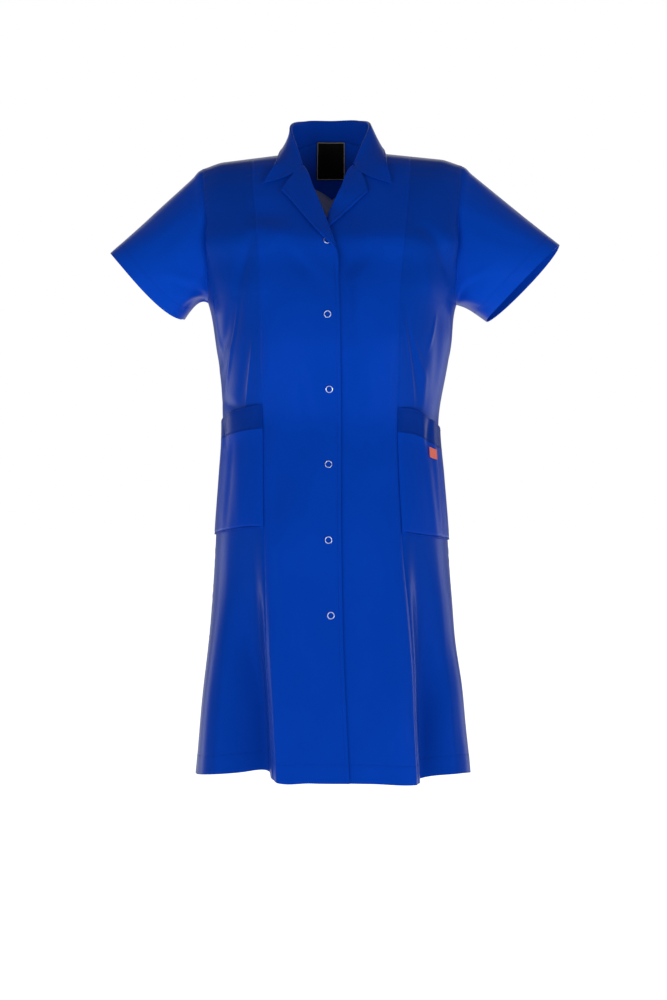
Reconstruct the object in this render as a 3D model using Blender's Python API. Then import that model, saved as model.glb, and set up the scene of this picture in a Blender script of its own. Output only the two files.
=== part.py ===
"""Women's short-sleeved work coat, filled out as if worn, with no wearer in it.

Every cut-and-sewn piece is a thin closed wall of cloth. The coat is worked out in millimetres and
made in metres. The frame: +Z up, -Y is the front of the coat, +X is the wearer's left. The origin
lies midway between the two shoulder-neck points, in the plane of the shoulder seams.
Left and right are the wearer's. A "drop" is a distance down from the shoulder-neck points.
"""
import bpy
import numpy as np

# ---- driving sizes, in millimetres --------------------------------------------------------------
CLOTH = 1.4            # thickness of one wall of cloth
SEAM_GAP = 0.3         # gap between neighbouring pieces at a seam
LAYER_GAP = 0.8        # gap between a panel and what is sewn on it
ARMHOLE_GAP = 0.9      # a sleeve starts this far from the armhole's edge
NECK_HALF = 68.0       # shoulder-neck point, from the middle
NECK_RISE = 2.0        # height of the shoulder-neck point
NAPE_BACK = 62.0       # middle of the back neck seam, behind the origin
NAPE_RISE = 27.0       # and above it
SHOULDER_END = 198.0   # outer end of the shoulder seam
SHOULDER_SLOPE = 0.115
SHOULDER_ROUND = {"by": 7.0, "from": 165.0, "to": 205.0}   # its outer end is rounded down
SHOULDER_TILT = 0.013  # the left shoulder is a little higher
SHOULDER_FADE = 150.0  # drop by which the shoulder line's slope has faded out
NAPE_FADE = 360.0      # and the height of the back neck seam, down the back
NAPE_SPREAD = 16.0     # the back fills out this much beside the neck, over the shoulder blades
NAPE_SPREAD_LEVELS = (0.0, 70.0)            # in full from the second of these levels down
NAPE_DROPS = np.linspace(0.0, 120.0, 481)   # among which the back neck seam's drop is looked up
UNDERARM = 230.0       # drop of the lowest point of the armhole
FOLD_RADIUS = 2.2      # radius at which collar and lapels turn over
COLLAR_LIFT = {"roll": 0.0, "half": 3.4, "edge": 4.8}   # how far the collar's ends stand off the fronts
LAPEL_LIFT = 1.2       # the lapel's outer edge stands off this much more than its fold
LAPEL_START = 3.0      # the lapel's upper edge lies this far below the gorge
LAPEL_END = 0.5        # and its lower end at this share of its last row of the front
LAPEL_SETBACK = 5.3    # beside the lapel the front panel stops this far short of the roll line
LAPEL_SETBACK_DROPS = (10.0, 22.0, 137.0, 161.0)   # where that starts, is whole, ends and is over
UNDER_LAP = 2.2        # the left front lies this far inside the right one
UNDER_LAP_FADE = (15.0, 60.0)                      # distances left of the middle where that fades out
UNDER_LAPEL = 8.2      # and this much further where its lapel lies between them
UNDER_LAPEL_DROPS = (60.0, 100.0, 150.0, 200.0)    # where that starts, is whole, ends and is over

# The torso's cross-section at each drop: half widths on the wearer's right and left, and how far
# the front and the back stand off the shoulder plane. Above the underarm the widths are those of
# the curve that the armhole cuts off. The round column is ten times the exponent of the
# cross-section's curve: 20 is an ellipse, and more is squarer.
SECTIONS = {
    "drop":  (0, 4, 12, 30, 60, 110, 170, 205, 230, 285, 345, 405, 490, 560, 650, 730, 815, 950),
    "right": (200, 202, 204, 207, 212, 213, 206, 197, 188, 175, 166, 165, 171, 176, 181, 187, 196, 208),
    "left":  (200, 202, 204, 207, 212, 213, 206, 198, 190, 179, 168, 162, 169, 175, 181, 187, 196, 208),
    "front": (0, 15, 28, 46, 68, 95, 118, 129, 133, 131, 118, 112, 124, 134, 140, 146, 153, 163),
    "back":  (0, 14, 27, 42, 60, 82, 98, 103, 104, 98, 84, 76, 92, 108, 116, 124, 133, 146),
    "round": (38, 38, 37, 35, 32, 28, 25, 24, 23, 23, 23, 23, 23, 23, 23, 23, 23, 23),
}

# Edges of the front panels, as distances from the middle of the coat (+ is the wearer's left).
# Down to the break the front edge is the lapel's roll line, below it the edge of the overlap.
FRONT_EDGES = {
    "drop":           (0, 22, 58, 113, 135, 161, 204, 350, 600, 750, 950),
    "right_front":    (-68, -44, -28, -6, 0, 8, 10, 13, 14, 17, 26),
    "left_front":     (68, 32, 12, -13, -21, -27, -30, -30, -28, -24, -16),
    "right_princess": (-122, -121, -119, -113, -111, -109, -108, -104, -101, -97, -87),
    "left_princess":  (120, 119, 116, 110, 107, 105, 102, 97, 106, 118, 126),
}
ARMHOLE = {
    "drop": (0, 30, 60, 110, 150, 190, 215, 230),
    "x":    (198, 196, 193.5, 191, 190, 189, 188.5, 190),
}

# The largest folds. Girth counts round the coat: 0 front edge, 1 princess seam, 2 side seam, 3 the
# middle of the back. The depth is outwards, 0 at the start drop and whole at the full drop.
FOLDS = (
    # side, girth, reach fore, reach aft, depth, start, full
    ("right", 1.14, 0.14, 0.26, -40.0, 560.0, 960.0),
    ("right", 0.92, 0.50, 0.09, 9.0, 520.0, 900.0),
    ("right", 1.55, 0.24, 0.28, 9.0, 560.0, 930.0),
    ("right", 2.34, 0.22, 0.24, -15.0, 600.0, 940.0),
    ("right", 2.66, 0.22, 0.30, 9.0, 580.0, 930.0),
    ("left", 1.16, 0.16, 0.30, -36.0, 520.0, 940.0),
    ("left", 0.94, 0.45, 0.08, 11.0, 500.0, 900.0),
    ("left", 1.62, 0.26, 0.30, 8.0, 580.0, 930.0),
    ("left", 2.30, 0.20, 0.24, -13.0, 580.0, 940.0),
    ("left", 2.62, 0.24, 0.30, 11.0, 600.0, 930.0),
)

# The collar from the middle of the back (along 0) to near the gorge (along 1): its upper fold, a
# point half way down the fall, and its outer edge. The x values are for the wearer's left.
COLLAR = {
    "along":  (0.00, 0.30, 0.60, 0.80),
    "roll_x": (0, 40, 60, 49),
    "roll_y": (70, 54, 10, -20),
    "roll_z": (62, 60, 45, 12),
    "half_x": (0, 46, 72, 70),
    "half_y": (77, 61, 8, -29),
    "half_z": (38, 36, 27, -3),
    "edge_x": (0, 53, 83, 88),
    "edge_y": (77, 60, 2, -45),
    "edge_z": (9, 9, 7, -19),
}
COLLAR_SHIFT = -4.5    # the fronts' middle line lies this far from the coat's
COLLAR_FRONT = {
    # x and drop, at the gorge, of a point half way down the fall and of the collar's tip
    "right": {"half": (-60.0, 38.5), "edge": (-102.0, 48.0)},
    "left": {"half": (46.0, 38.5), "edge": (90.0, 54.0)},
}
LAPELS = {
    # x and drop of the lapel's tip and of the break where its roll line ends
    "right": {"tip": (-76.0, 62.0), "break": (8.0, 161.0)},
    "left": {"tip": (55.5, 64.0), "break": (-21.0, 137.0)},
}

SLEEVES = {
    # x and z of the hem's corners in the front view
    "right": {"outer": (-338.0, -151.0), "inner": (-229.0, -250.0)},
    "left": {"outer": (348.0, -139.0), "inner": (235.0, -255.0)},
}
SLEEVE_HEM_DEPTH = 52.0   # half of the sleeve hem's width from front to back
SLEEVE_FULLNESS = 13.0    # how far the sleeve rounds out between armhole and hem
SLEEVE_FORWARD = 6.0      # the hem's rear half hangs this much further out than its front half

POCKETS = {
    # drops at the princess seam and at the side seam
    "right": {"mouth": (379.0, 402.0), "band": (413.0, 434.0), "bottom": (571.0, 580.0)},
    "left": {"mouth": (384.0, 412.0), "band": (419.0, 440.0), "bottom": (577.0, 588.0)},
}
POCKET_GAPE = 2.5      # the middle of the pocket mouth stands off this much more
FACING_DEPTH = (56.0, 96.0)   # back facing at its ends and at its point in the middle
LABEL = {"left": -21.5, "right": 18.5, "top": 3.0, "bottom": 63.0}
TAB = {"share": (0.42, 0.62), "down": (0.12, 0.25)}   # place on the left pocket
STUDS = {"x": (-8.0, -7.0, -4.0, -5.5, -5.0, -2.0), "first": 142.0, "pitch": 111.3}
STUD_RADIUS = 4.7      # to the middle of the ring's rim
STUD_RIM = (0.9, 0.5)  # half width and half height of the rim
STUD_GAP = 0.3

SIDES = {"right": -1.0, "left": 1.0}
ROWS = np.array((0, 5, 12, 22, 38, 60, 86, 113, 137, 161, 188, 212, 230,
                 262, 300, 340, 370, 395, 418, 445, 480, 530, 590, 650, 710, 770, 830, 892, 948), dtype=float)
GORGE_ROW = 3
UNDERARM_ROW = 12
LAPEL_LAST_ROW = {"right": 9, "left": 8}
FRONT_SHARES = np.linspace(0.0, 1.0, 5)                              # columns of a front
SIDE_SHARES = np.array((0.0, 0.07, 0.14, 0.24, 0.38, 0.55, 0.7, 0.85, 1.0))   # and of a side front
NAPE_GIRTH = 2.62      # the girth of the line down the back from the shoulder-neck point
SHOULDER_GIRTHS = np.linspace(2.0, NAPE_GIRTH, 5)                    # columns of the back out to there
NAPE_GIRTHS = np.linspace(NAPE_GIRTH, 3.0, 7)                        # and on to its middle
SLEEVE_ROWS = (0.0, 0.1, 0.3, 0.55, 0.8, 1.0)

MATERIALS = {
    # base colour, roughness, metallic
    "cloth": ((0.004, 0.045, 0.40, 1.0), 0.75, 0.0),
    "label_cloth": ((0.012, 0.012, 0.014, 1.0), 0.6, 0.0),
    "tab_cloth": ((0.85, 0.12, 0.06, 1.0), 0.7, 0.0),
    "stud_metal": ((0.75, 0.77, 0.80, 1.0), 0.3, 1.0),
}


# ---- curves and surfaces ------------------------------------------------------------------------
def smooth(table, column, at, key="drop"):
    """Cubic curve through one column of a table, its slope at each knot taken from the neighbours."""
    knots = np.asarray(table[key], dtype=float)
    values = np.asarray(table[column], dtype=float)
    slopes = np.gradient(values, knots)
    at = np.clip(np.asarray(at, dtype=float), knots[0], knots[-1])
    i = np.clip(np.searchsorted(knots, at, side="right") - 1, 0, len(knots) - 2)
    span = knots[i + 1] - knots[i]
    t = (at - knots[i]) / span
    return (values[i] * (2 * t**3 - 3 * t**2 + 1) + slopes[i] * span * (t**3 - 2 * t**2 + t)
            + values[i + 1] * (3 * t**2 - 2 * t**3) + slopes[i + 1] * span * (t**3 - t**2))


def ease(low, high, at):
    """0 below low and 1 above high, with a smooth step between."""
    t = np.clip((np.asarray(at, dtype=float) - low) / (high - low), 0.0, 1.0)
    return t * t * (3.0 - 2.0 * t)


def between(drops, at):
    """Rises from the first drop to the second and falls again from the third to the fourth."""
    return ease(drops[0], drops[1], at) * (1.0 - ease(drops[2], drops[3], at))


def mix(first, last, share):
    return first + (last - first) * share


def unit(vectors):
    return vectors / np.maximum(np.linalg.norm(vectors, axis=-1, keepdims=True), 1e-9)


def half_width(x, drop):
    return np.where(np.asarray(x) < 0, smooth(SECTIONS, "right", drop), smooth(SECTIONS, "left", drop))


def shoulder_height(x):
    """Height of the shoulder line: a slight slope, rounded off at its outer end."""
    out = np.abs(x)
    slope = NECK_RISE - SHOULDER_SLOPE * np.maximum(out - NECK_HALF, 0.0)
    rounding = SHOULDER_ROUND["by"] * ease(SHOULDER_ROUND["from"], SHOULDER_ROUND["to"], out)
    return slope - rounding + SHOULDER_TILT * x


def exponent(drop):
    return smooth(SECTIONS, "round", drop) / 10.0


def depth_share(share, drop):
    """How deep the unit cross-section is at a share of its half width."""
    n = exponent(drop)
    return (1.0 - np.clip(np.abs(share), 0.0, 1.0) ** n) ** (1.0 / n)


def bearing_of(x, drop):
    """Bearing in the unit cross-section of a given x: 0 at the front, a quarter turn at the side."""
    share = np.clip(np.abs(x) / half_width(x, drop), 0.0, 1.0)
    return np.sign(x) * np.arctan2(share, depth_share(share, drop))


def fold_depth(side, girth, drop):
    """Sum of the folds: rounded ridges and valleys round the girth that grow down the skirt."""
    total = np.zeros(np.broadcast(girth, drop).shape)
    for fold_side, middle, fore, aft, depth, start, full in FOLDS:
        if fold_side == side:
            near = np.clip((girth - middle) / np.where(girth < middle, fore, aft), -1.0, 1.0)
            total = total + depth * 0.5 * (1.0 + np.cos(np.pi * near)) * ease(start, full, drop)
    return total


def torso_point(side, bearing, drop, girth, rise=0.0):
    """Points of the coat's outer surface.

    The unit cross-section |x|^n + |y|^n = 1 is met at the bearing and scaled by the half width and
    by the front or back depth at that drop. The shoulder line's slope fades out below it, and the
    folds move the points straight out of the cross-section.
    """
    bearing, drop, girth = np.broadcast_arrays(bearing, drop, girth)
    s, c = np.sin(bearing), np.cos(bearing)
    n = exponent(drop)
    radius = (np.abs(s)**n + np.abs(c)**n) ** (-1.0 / n)
    wide = half_width(s, drop)
    deep = np.where(c > 0, smooth(SECTIONS, "front", drop), smooth(SECTIONS, "back", drop))
    x, y = radius * s * wide, -radius * c * deep
    out = unit(np.stack([x / wide**2, y / np.maximum(deep, 1.0)**2], axis=-1))
    fold = fold_depth(side, girth, drop)
    x, y = x + out[..., 0] * fold, y + out[..., 1] * fold
    z = -drop + shoulder_height(x) * (1.0 - ease(0.0, SHOULDER_FADE, drop)) + rise
    return np.stack([x, y, z], axis=-1)


def under_lap(x, drop):
    """How far the left front lies inside the right one that laps over it."""
    inside = UNDER_LAP + UNDER_LAPEL * between(UNDER_LAPEL_DROPS, drop)
    return inside * (1.0 - ease(*UNDER_LAP_FADE, x))


def grid_normals(grid):
    """Unit normals of a grid, pointing away from the coat's upright middle axis on the whole."""
    normal = unit(np.cross(np.gradient(grid, axis=1), np.gradient(grid, axis=0)))
    outward = np.sum(normal[..., :2] * grid[..., :2])
    return normal if outward > 0 else -normal


def normals_of(surface, side, first, second, steps):
    """Unit normals of a surface function at two arrays of its arguments, pointing out and up."""
    near_first = surface(side, first + steps[0], second) - surface(side, first - steps[0], second)
    near_second = surface(side, first, second + steps[1]) - surface(side, first, second - steps[1])
    normal = unit(np.cross(near_first, near_second))
    point = surface(side, first, second)
    outward = np.sum(normal * (point * [1.0, 1.0, 0.0] + [0.0, 0.0, 60.0]), axis=-1, keepdims=True)
    return normal * np.sign(outward)


# ---- the body's panels --------------------------------------------------------------------------
def front_surface(side, x, drop, girth=0.0):
    """Points of one front by their distance from the middle and their drop."""
    grid = torso_point(side, bearing_of(x, drop), drop, girth)
    if side == "left":
        grid[..., 1] += under_lap(grid[..., 0], drop)
    return grid


def front_edge(side, drop):
    """Front edge of one front. Beside the lapel it stops short of the roll line, where the lapel starts."""
    setback = LAPEL_SETBACK * between(LAPEL_SETBACK_DROPS, drop)
    return smooth(FRONT_EDGES, side + "_front", drop) + SIDES[side] * setback


def front_grid(side):
    """Front panel from its front edge to the princess seam."""
    girth, drop = FRONT_SHARES[None, :], ROWS[:, None]
    first = bearing_of(front_edge(side, drop), drop)
    last = bearing_of(smooth(FRONT_EDGES, side + "_princess", drop), drop)
    grid = torso_point(side, mix(first, last, girth), drop, girth)
    if side == "left":
        grid[..., 1] += under_lap(grid[..., 0], drop)
    return grid


def arm_bearing(side, drop):
    """Bearing of the armhole's front edge, which reaches the side seam at the underarm."""
    edge = np.abs(bearing_of(SIDES[side] * smooth(ARMHOLE, "x", drop), drop))
    return np.where(drop >= UNDERARM, np.pi / 2, edge)


def side_surface(side, share, drop):
    """Side front by the share of the way from the princess seam to the armhole or side seam."""
    first = bearing_of(smooth(FRONT_EDGES, side + "_princess", drop), drop)
    last = SIDES[side] * arm_bearing(side, drop)
    return torso_point(side, mix(first, last, share), drop, 1.0 + share)


def side_grid(side):
    return side_surface(side, SIDE_SHARES[None, :], ROWS[:, None])


def neckline(side, turn):
    """Back neck seam: a quarter ellipse from the middle of the back to the shoulder-neck point."""
    x, y = SIDES[side] * NECK_HALF * np.sin(turn), NAPE_BACK * np.cos(turn)
    z = mix(NECK_RISE, NAPE_RISE, np.abs(np.cos(turn)) ** 1.6) + SHOULDER_TILT * x
    return np.stack([x, y, z], axis=-1)


def back_surface(side, girth, level):
    """Half of the back by girth and level, a level being a drop measured from the upper edge.

    The upper edge is the shoulder seam and then the neckline. The neckline's drop is the one at
    which the back is as deep as the neckline is there. What the neckline stands higher than that
    fades out down the back.
    """
    girth, level = np.broadcast_arrays(girth, level)
    beyond_neck = np.clip((NAPE_GIRTH - girth) / (NAPE_GIRTH - 2.0), 0.0, 1.0)
    turn = np.clip((3.0 - girth) / (3.0 - NAPE_GIRTH), 0.0, 1.0) * np.pi / 2
    seam = neckline(side, turn)
    top_x = seam[..., 0] + SIDES[side] * (SHOULDER_END - NECK_HALF) * beyond_neck
    top_share = np.abs(top_x) / smooth(SECTIONS, side, 0.0)
    depths, start = smooth(SECTIONS, "back", NAPE_DROPS), 0.0
    for _ in range(4):
        start = np.interp(seam[..., 1] / depth_share(top_share, start), depths, NAPE_DROPS)
    start = np.where(girth > NAPE_GIRTH, start, 0.0)
    drop = np.where(level < UNDERARM, start + level * (1.0 - start / UNDERARM), level)
    edge = np.pi - arm_bearing(side, level)
    even = mix(edge, np.pi, girth - 2.0)
    top_share = np.abs(top_x) / half_width(top_x, start)
    top = np.pi - np.arctan2(top_share, depth_share(top_share, start))
    bearing = mix(top, even, ease(0.0, UNDERARM, level))
    bearing = np.where(girth <= 2.0, edge, bearing)
    plain = -start + shoulder_height(top_x) * (1.0 - ease(0.0, SHOULDER_FADE, start))
    rise = np.where(girth > NAPE_GIRTH, seam[..., 2] - plain, 0.0)
    spread = NAPE_SPREAD * (1.0 - beyond_neck) ** 2 * ease(*NAPE_SPREAD_LEVELS, level)
    rise = (rise + spread) * (1.0 - ease(0.0, NAPE_FADE, level))
    return torso_point(side, SIDES[side] * bearing, drop, girth, rise)


def back_grid():
    """Whole back in one piece, from the right side seam round to the left one."""
    girth = np.concatenate([SHOULDER_GIRTHS, NAPE_GIRTHS[1:]])[None, :]
    right, left = (back_surface(side, girth, ROWS[:, None]) for side in SIDES)
    return np.concatenate([right, left[:, -2::-1]], axis=1)


def sleeve_grid(side, side_panel, back_panel):
    """Sleeve: each point of the armhole runs to its point of the hem, rounding out on the way.

    The hem is a tilted ellipse between its two corners. Columns run from the shoulder down the
    front to the underarm and up the back, spaced as along the armhole.
    """
    rows = slice(0, UNDERARM_ROW + 1)
    front = side_panel[rows, -1]
    back = back_panel[rows, 0 if side == "right" else -1]
    ends = []
    for arm_edge in (front, back):
        steps = np.linalg.norm(np.diff(arm_edge, axis=0), axis=1)
        ends.append(np.concatenate([[0.0], np.cumsum(steps)]) / np.sum(steps))
    turn = np.pi * np.concatenate([ends[0], 2.0 - ends[1][-2:0:-1]])
    armhole = np.concatenate([front, back[-2:0:-1]])
    (outer_x, outer_z), (inner_x, inner_z) = SLEEVES[side]["outer"], SLEEVES[side]["inner"]
    middle = np.array([outer_x + inner_x, 0.0, outer_z + inner_z]) / 2
    across = np.array([outer_x - inner_x, 0.0, outer_z - inner_z]) / 2
    out = unit(np.array([SIDES[side] * abs(across[2]), 0.0, -abs(across[0])]))
    forward = np.sin(turn)[:, None]
    hem = (middle + across * np.cos(turn)[:, None] - out * SLEEVE_FORWARD * forward
           + np.array([0.0, -SLEEVE_HEM_DEPTH, 0.0]) * forward)
    share = np.array(SLEEVE_ROWS)[:, None, None]
    full = SLEEVE_FULLNESS * np.sin(np.pi * share) * forward * np.array([0.0, -1.0, 0.0])
    return mix(armhole, hem, share) + full


# ---- pieces that turn over or lie on a panel ----------------------------------------------------
def turned_section(base, roll, half, edge):
    """Rows from a base edge up to a roll, round it, and down over half to the outer edge.

    Each argument is one line of points along the fold. The roll is the outermost line of a half
    circle of the fold's radius, square to the roll. The rows are the cloth's outer side there, so
    its thickness goes inside the fold.
    """
    along = unit(np.gradient(roll, axis=0))
    up = roll - base
    up = unit(up - np.sum(up * along, axis=-1, keepdims=True) * along)
    over = np.cross(along, up)
    over = over * np.sign(np.sum(over * (half - roll)))
    centre = roll - up * FOLD_RADIUS
    angles = np.linspace(0.0, np.pi, 5)
    arc = [centre + FOLD_RADIUS * (np.sin(a) * up - np.cos(a) * over) for a in angles]
    fall = [mix(arc[-1], half, 0.5), half, mix(half, edge, 0.5), edge]
    return np.stack([base, mix(base, arc[0], 0.5)] + arc + fall)


def collar_grid(fronts, back_panel):
    """Collar in one piece from gorge to gorge, its stand and its fall."""
    halves = []
    middle = back_panel.shape[1] // 2
    back_normal = grid_normals(back_panel)
    nape_count = len(NAPE_GIRTHS)
    along = np.concatenate([np.linspace(0.0, 0.6, nape_count), np.linspace(0.6, 1.0, GORGE_ROW + 1)[1:]])
    for side, sign in SIDES.items():
        nape = slice(middle, middle + int(sign) * nape_count, int(sign))
        front = fronts[side][1:GORGE_ROW + 1, 0]
        seam = np.concatenate([back_panel[0, nape], front])
        inner = np.concatenate([back_panel[1, nape], fronts[side][1:GORGE_ROW + 1, 1]])
        normal = np.concatenate([back_normal[0, nape], grid_normals(fronts[side])[1:GORGE_ROW + 1, 0]])
        lines = []
        for part, lift in COLLAR_LIFT.items():
            x, drop = COLLAR_FRONT[side].get(part, (FRONT_EDGES[side + "_front"][1], 22.0))
            last = laid_point(side, x, drop, FOLD_RADIUS - CLOTH + lift)
            stations = {"along": COLLAR["along"] + (1.0,)}
            across = sign * np.array(COLLAR[part + "_x"]) + COLLAR_SHIFT * ease(0.3, 0.8, COLLAR["along"])
            stations["x"] = np.append(across, last[0])
            stations["y"] = COLLAR[part + "_y"] + (last[1],)
            stations["z"] = np.append(np.array(COLLAR[part + "_z"]) + SHOULDER_TILT * across, last[2])
            lines.append(np.stack([smooth(stations, axis, along, "along") for axis in "xyz"], axis=-1))
        beyond, up = unit(seam - inner), unit(lines[0] - seam)
        flat = np.sum(up * beyond, axis=-1, keepdims=True)
        upright = np.sum(up * normal, axis=-1, keepdims=True)
        base = seam + CLOTH * (np.maximum(upright, 0.0) * beyond - flat * normal) + 3 * SEAM_GAP * up
        halves.append(turned_section(base, *lines))
    right, left = halves
    return np.concatenate([right[:, ::-1], left[:, 1:]], axis=1)


def laid_point(side, x, drop, lift):
    """Points over one front, off it by a distance along its normals."""
    x, drop = np.broadcast_arrays(np.asarray(x, float), np.asarray(drop, float))
    normal = normals_of(front_surface, side, x, drop, (1.0, 1.0))
    return front_surface(side, x, drop) + normal * np.asarray(lift)[..., None]


def lapel_grid(side):
    """Lapel: the front's edge turned back over it, from the gorge to the break."""
    drop = ROWS[GORGE_ROW:LAPEL_LAST_ROW[side] + 1].copy()
    (tip_x, tip_drop), (break_x, break_drop) = LAPELS[side]["tip"], LAPELS[side]["break"]
    drop[0] += LAPEL_START
    drop[-1] = mix(drop[-2], drop[-1], LAPEL_END)
    along = (drop - drop[0]) / (break_drop - drop[0])
    roll_x = smooth(FRONT_EDGES, side + "_front", drop)
    edge_x, edge_drop = mix(tip_x, break_x, along), mix(tip_drop, break_drop, along)
    half_x, half_drop = mix(roll_x, edge_x, 0.5), mix(drop, edge_drop, 0.5)
    upper = 2 * FOLD_RADIUS - CLOTH
    base = laid_point(side, front_edge(side, drop), drop, -CLOTH)
    roll = laid_point(side, roll_x, drop, FOLD_RADIUS - CLOTH)
    half = laid_point(side, half_x, half_drop, upper + LAPEL_LIFT / 2)
    edge = laid_point(side, edge_x, edge_drop, upper + LAPEL_LIFT)
    return turned_section(base + unit(roll - base) * 3 * SEAM_GAP, roll, half, edge)


def laid_on(grid, lift):
    """A grid moved off its panel by a distance along the panel's normals."""
    return grid + grid_normals(grid) * lift


def pocket_surface(side, share, down, part, lift=0.0):
    """One part of a pocket, over the side front: the share of the way to the side seam, and down it."""
    lines = {"band": ("mouth", "band"), "patch": ("band", "bottom")}[part]
    upper, lower = (mix(*POCKETS[side][line], share) for line in lines)
    drop = mix(upper, lower, down)
    near_mouth = ease(POCKETS[side]["bottom"][0], POCKETS[side]["mouth"][0], drop)
    gape = POCKET_GAPE * np.sin(np.pi * share) * near_mouth
    share, drop = np.broadcast_arrays(share, drop)
    normal = normals_of(side_surface, side, share, drop, (0.01, 1.0))
    return side_surface(side, share, drop) + normal * (CLOTH + LAYER_GAP + gape + lift)[..., None]


def facing_grid():
    """Back neck facing inside the back, its lower edge running to a point in the middle."""
    girth = np.concatenate([SHOULDER_GIRTHS[-2:], NAPE_GIRTHS[1:]])[None, :]
    share = (girth - girth[0, 0]) / (3.0 - girth[0, 0])
    level = np.linspace(0.02, 1.0, 7)[:, None] * mix(FACING_DEPTH[0], FACING_DEPTH[1], share)
    halves = [back_surface(side, girth, level) for side in SIDES]
    grid = np.concatenate([halves[0], halves[1][:, -2::-1]], axis=1)
    return laid_on(grid, -CLOTH - LAYER_GAP)


def label_grid():
    """Neck label hanging on the facing: a rectangle bent to the back's curve."""
    x = np.linspace(LABEL["left"], LABEL["right"], 4)
    rows = []
    for level in np.linspace(LABEL["top"], LABEL["bottom"], 4):
        right, left = (back_surface(side, NAPE_GIRTHS, level) for side in SIDES)
        line = np.concatenate([right, left[-2::-1]])
        rows.append(np.stack([x, np.interp(x, line[:, 0], line[:, 1]), np.interp(x, line[:, 0], line[:, 2])],
                             axis=-1))
    return laid_on(np.stack(rows), -2 * CLOTH - 2.3 * LAYER_GAP)


# ---- solids -------------------------------------------------------------------------------------
def shrink_edges(grid, edges, gap):
    """Moves the named edges of a grid inwards by a gap."""
    grid = grid.copy()
    if "first_column" in edges:
        grid[:, 0] += gap * unit(grid[:, 1] - grid[:, 0])
    if "last_column" in edges:
        grid[:, -1] += gap * unit(grid[:, -2] - grid[:, -1])
    if "first_row" in edges:
        grid[0] += gap * unit(grid[1] - grid[0])
    if "last_row" in edges:
        grid[-1] += gap * unit(grid[-2] - grid[-1])
    return grid


def wall_mesh(outer, inner, closed=False):
    """Vertices and faces of a wall between two grids, closed along its rims."""
    rows, columns = outer.shape[:2]
    points = np.concatenate([outer.reshape(-1, 3), inner.reshape(-1, 3)])
    index = np.arange(rows * columns).reshape(rows, columns)
    ring = np.concatenate([index, index[:, :1]], axis=1) if closed else index
    across = rows * columns
    quads = np.stack([ring[:-1, :-1], ring[:-1, 1:], ring[1:, 1:], ring[1:, :-1]], axis=-1).reshape(-1, 4)
    rims = [ring[0, ::-1], ring[-1]]
    if not closed:
        rims += [index[:, 0], index[::-1, -1]]
    sides = [np.stack([rim[:-1], rim[1:], rim[1:] + across, rim[:-1] + across], axis=-1) for rim in rims]
    faces = np.concatenate([quads, quads[:, ::-1] + across] + sides)
    return points, faces


def signed_volume(points, faces):
    a, b, c, d = (points[faces[:, i]] for i in range(4))
    return np.sum(np.cross(a, b) * c) + np.sum(np.cross(a, c) * d)


def make_material(name):
    colour, roughness, metallic = MATERIALS[name]
    material = bpy.data.materials.new(name)
    material.use_nodes = True
    shader = material.node_tree.nodes["Principled BSDF"]
    shader.inputs["Base Color"].default_value = colour
    shader.inputs["Roughness"].default_value = roughness
    shader.inputs["Metallic"].default_value = metallic
    material.diffuse_color = colour
    return material


def make_object(name, points, faces, material):
    """One closed solid from millimetre points, its faces pointing out."""
    if signed_volume(points, faces) < 0:
        faces = faces[:, ::-1]
    mesh = bpy.data.meshes.new(name)
    mesh.from_pydata((points * 0.001).tolist(), [], faces.tolist())
    mesh.materials.append(material)
    mesh.shade_smooth()
    mesh.set_sharp_from_angle(angle=np.radians(40.0))
    made = bpy.data.objects.new(name, mesh)
    bpy.context.collection.objects.link(made)
    return made


def tube_normals(grid):
    """Unit normals of a grid whose columns close on themselves, pointing away from its axis."""
    ring = np.concatenate([grid[:, -1:], grid, grid[:, :1]], axis=1)
    normal = unit(np.cross(np.gradient(ring, axis=1), np.gradient(ring, axis=0)))[:, 1:-1]
    radial = grid - grid.mean(axis=1, keepdims=True)
    return normal * np.sign(np.sum(normal * radial))


def point_keys(grid):
    return map(tuple, np.round(grid, 2).reshape(-1, 3) + 0.0)


def shared_normals(grids):
    """Normals of the body's grids, averaged where two pieces meet, so that seams stay parallel."""
    normals, meeting = {}, {}
    for name, grid in grids.items():
        if name.startswith("sleeve"):
            normals[name] = tube_normals(grid)
        else:
            normals[name] = grid_normals(grid)
            on_shoulder = np.abs(grid[0, :, 1]) < 1e-6
            normals[name][0, on_shoulder, 1] = 0.0
            normals[name] = unit(normals[name])
        for key, normal in zip(point_keys(grid), normals[name].reshape(-1, 3)):
            meeting[key] = meeting.get(key, 0.0) + normal
    return {name: unit(np.array([meeting[key] for key in point_keys(grid)])).reshape(grid.shape)
            for name, grid in grids.items()}


def build_body(cloth):
    """Fronts, side fronts, back and sleeves. Gives back the fronts' and the back's grids."""
    fronts = {side: front_grid(side) for side in SIDES}
    back = back_grid()
    grids = {"back": back}
    for side in SIDES:
        grids["front_" + side] = fronts[side]
        grids["side_front_" + side] = side_grid(side)
        grids["sleeve_" + side] = sleeve_grid(side, grids["side_front_" + side], back)
    normals = shared_normals(grids)
    seams = {"front": ("last_column", "first_row"), "side": ("first_column", "last_column", "first_row"),
             "back": ("first_column", "last_column", "first_row"), "sleeve": ("first_row",)}
    for name, grid in grids.items():
        kind = name.split("_")[0]
        gap = ARMHOLE_GAP if kind == "sleeve" else SEAM_GAP / 2
        outer = shrink_edges(grid, seams[kind], gap)
        inner = shrink_edges(grid - normals[name] * CLOTH, seams[kind], gap)
        make_object(name, *wall_mesh(outer, inner, closed=kind == "sleeve"), cloth)
    return fronts, back


def build_layer(name, grid, material, edges=()):
    """A piece whose outer side is the grid and whose thickness goes inwards."""
    inner = grid - grid_normals(grid) * CLOTH
    gap = SEAM_GAP / 2
    make_object(name, *wall_mesh(shrink_edges(grid, edges, gap), shrink_edges(inner, edges, gap)), material)


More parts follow.
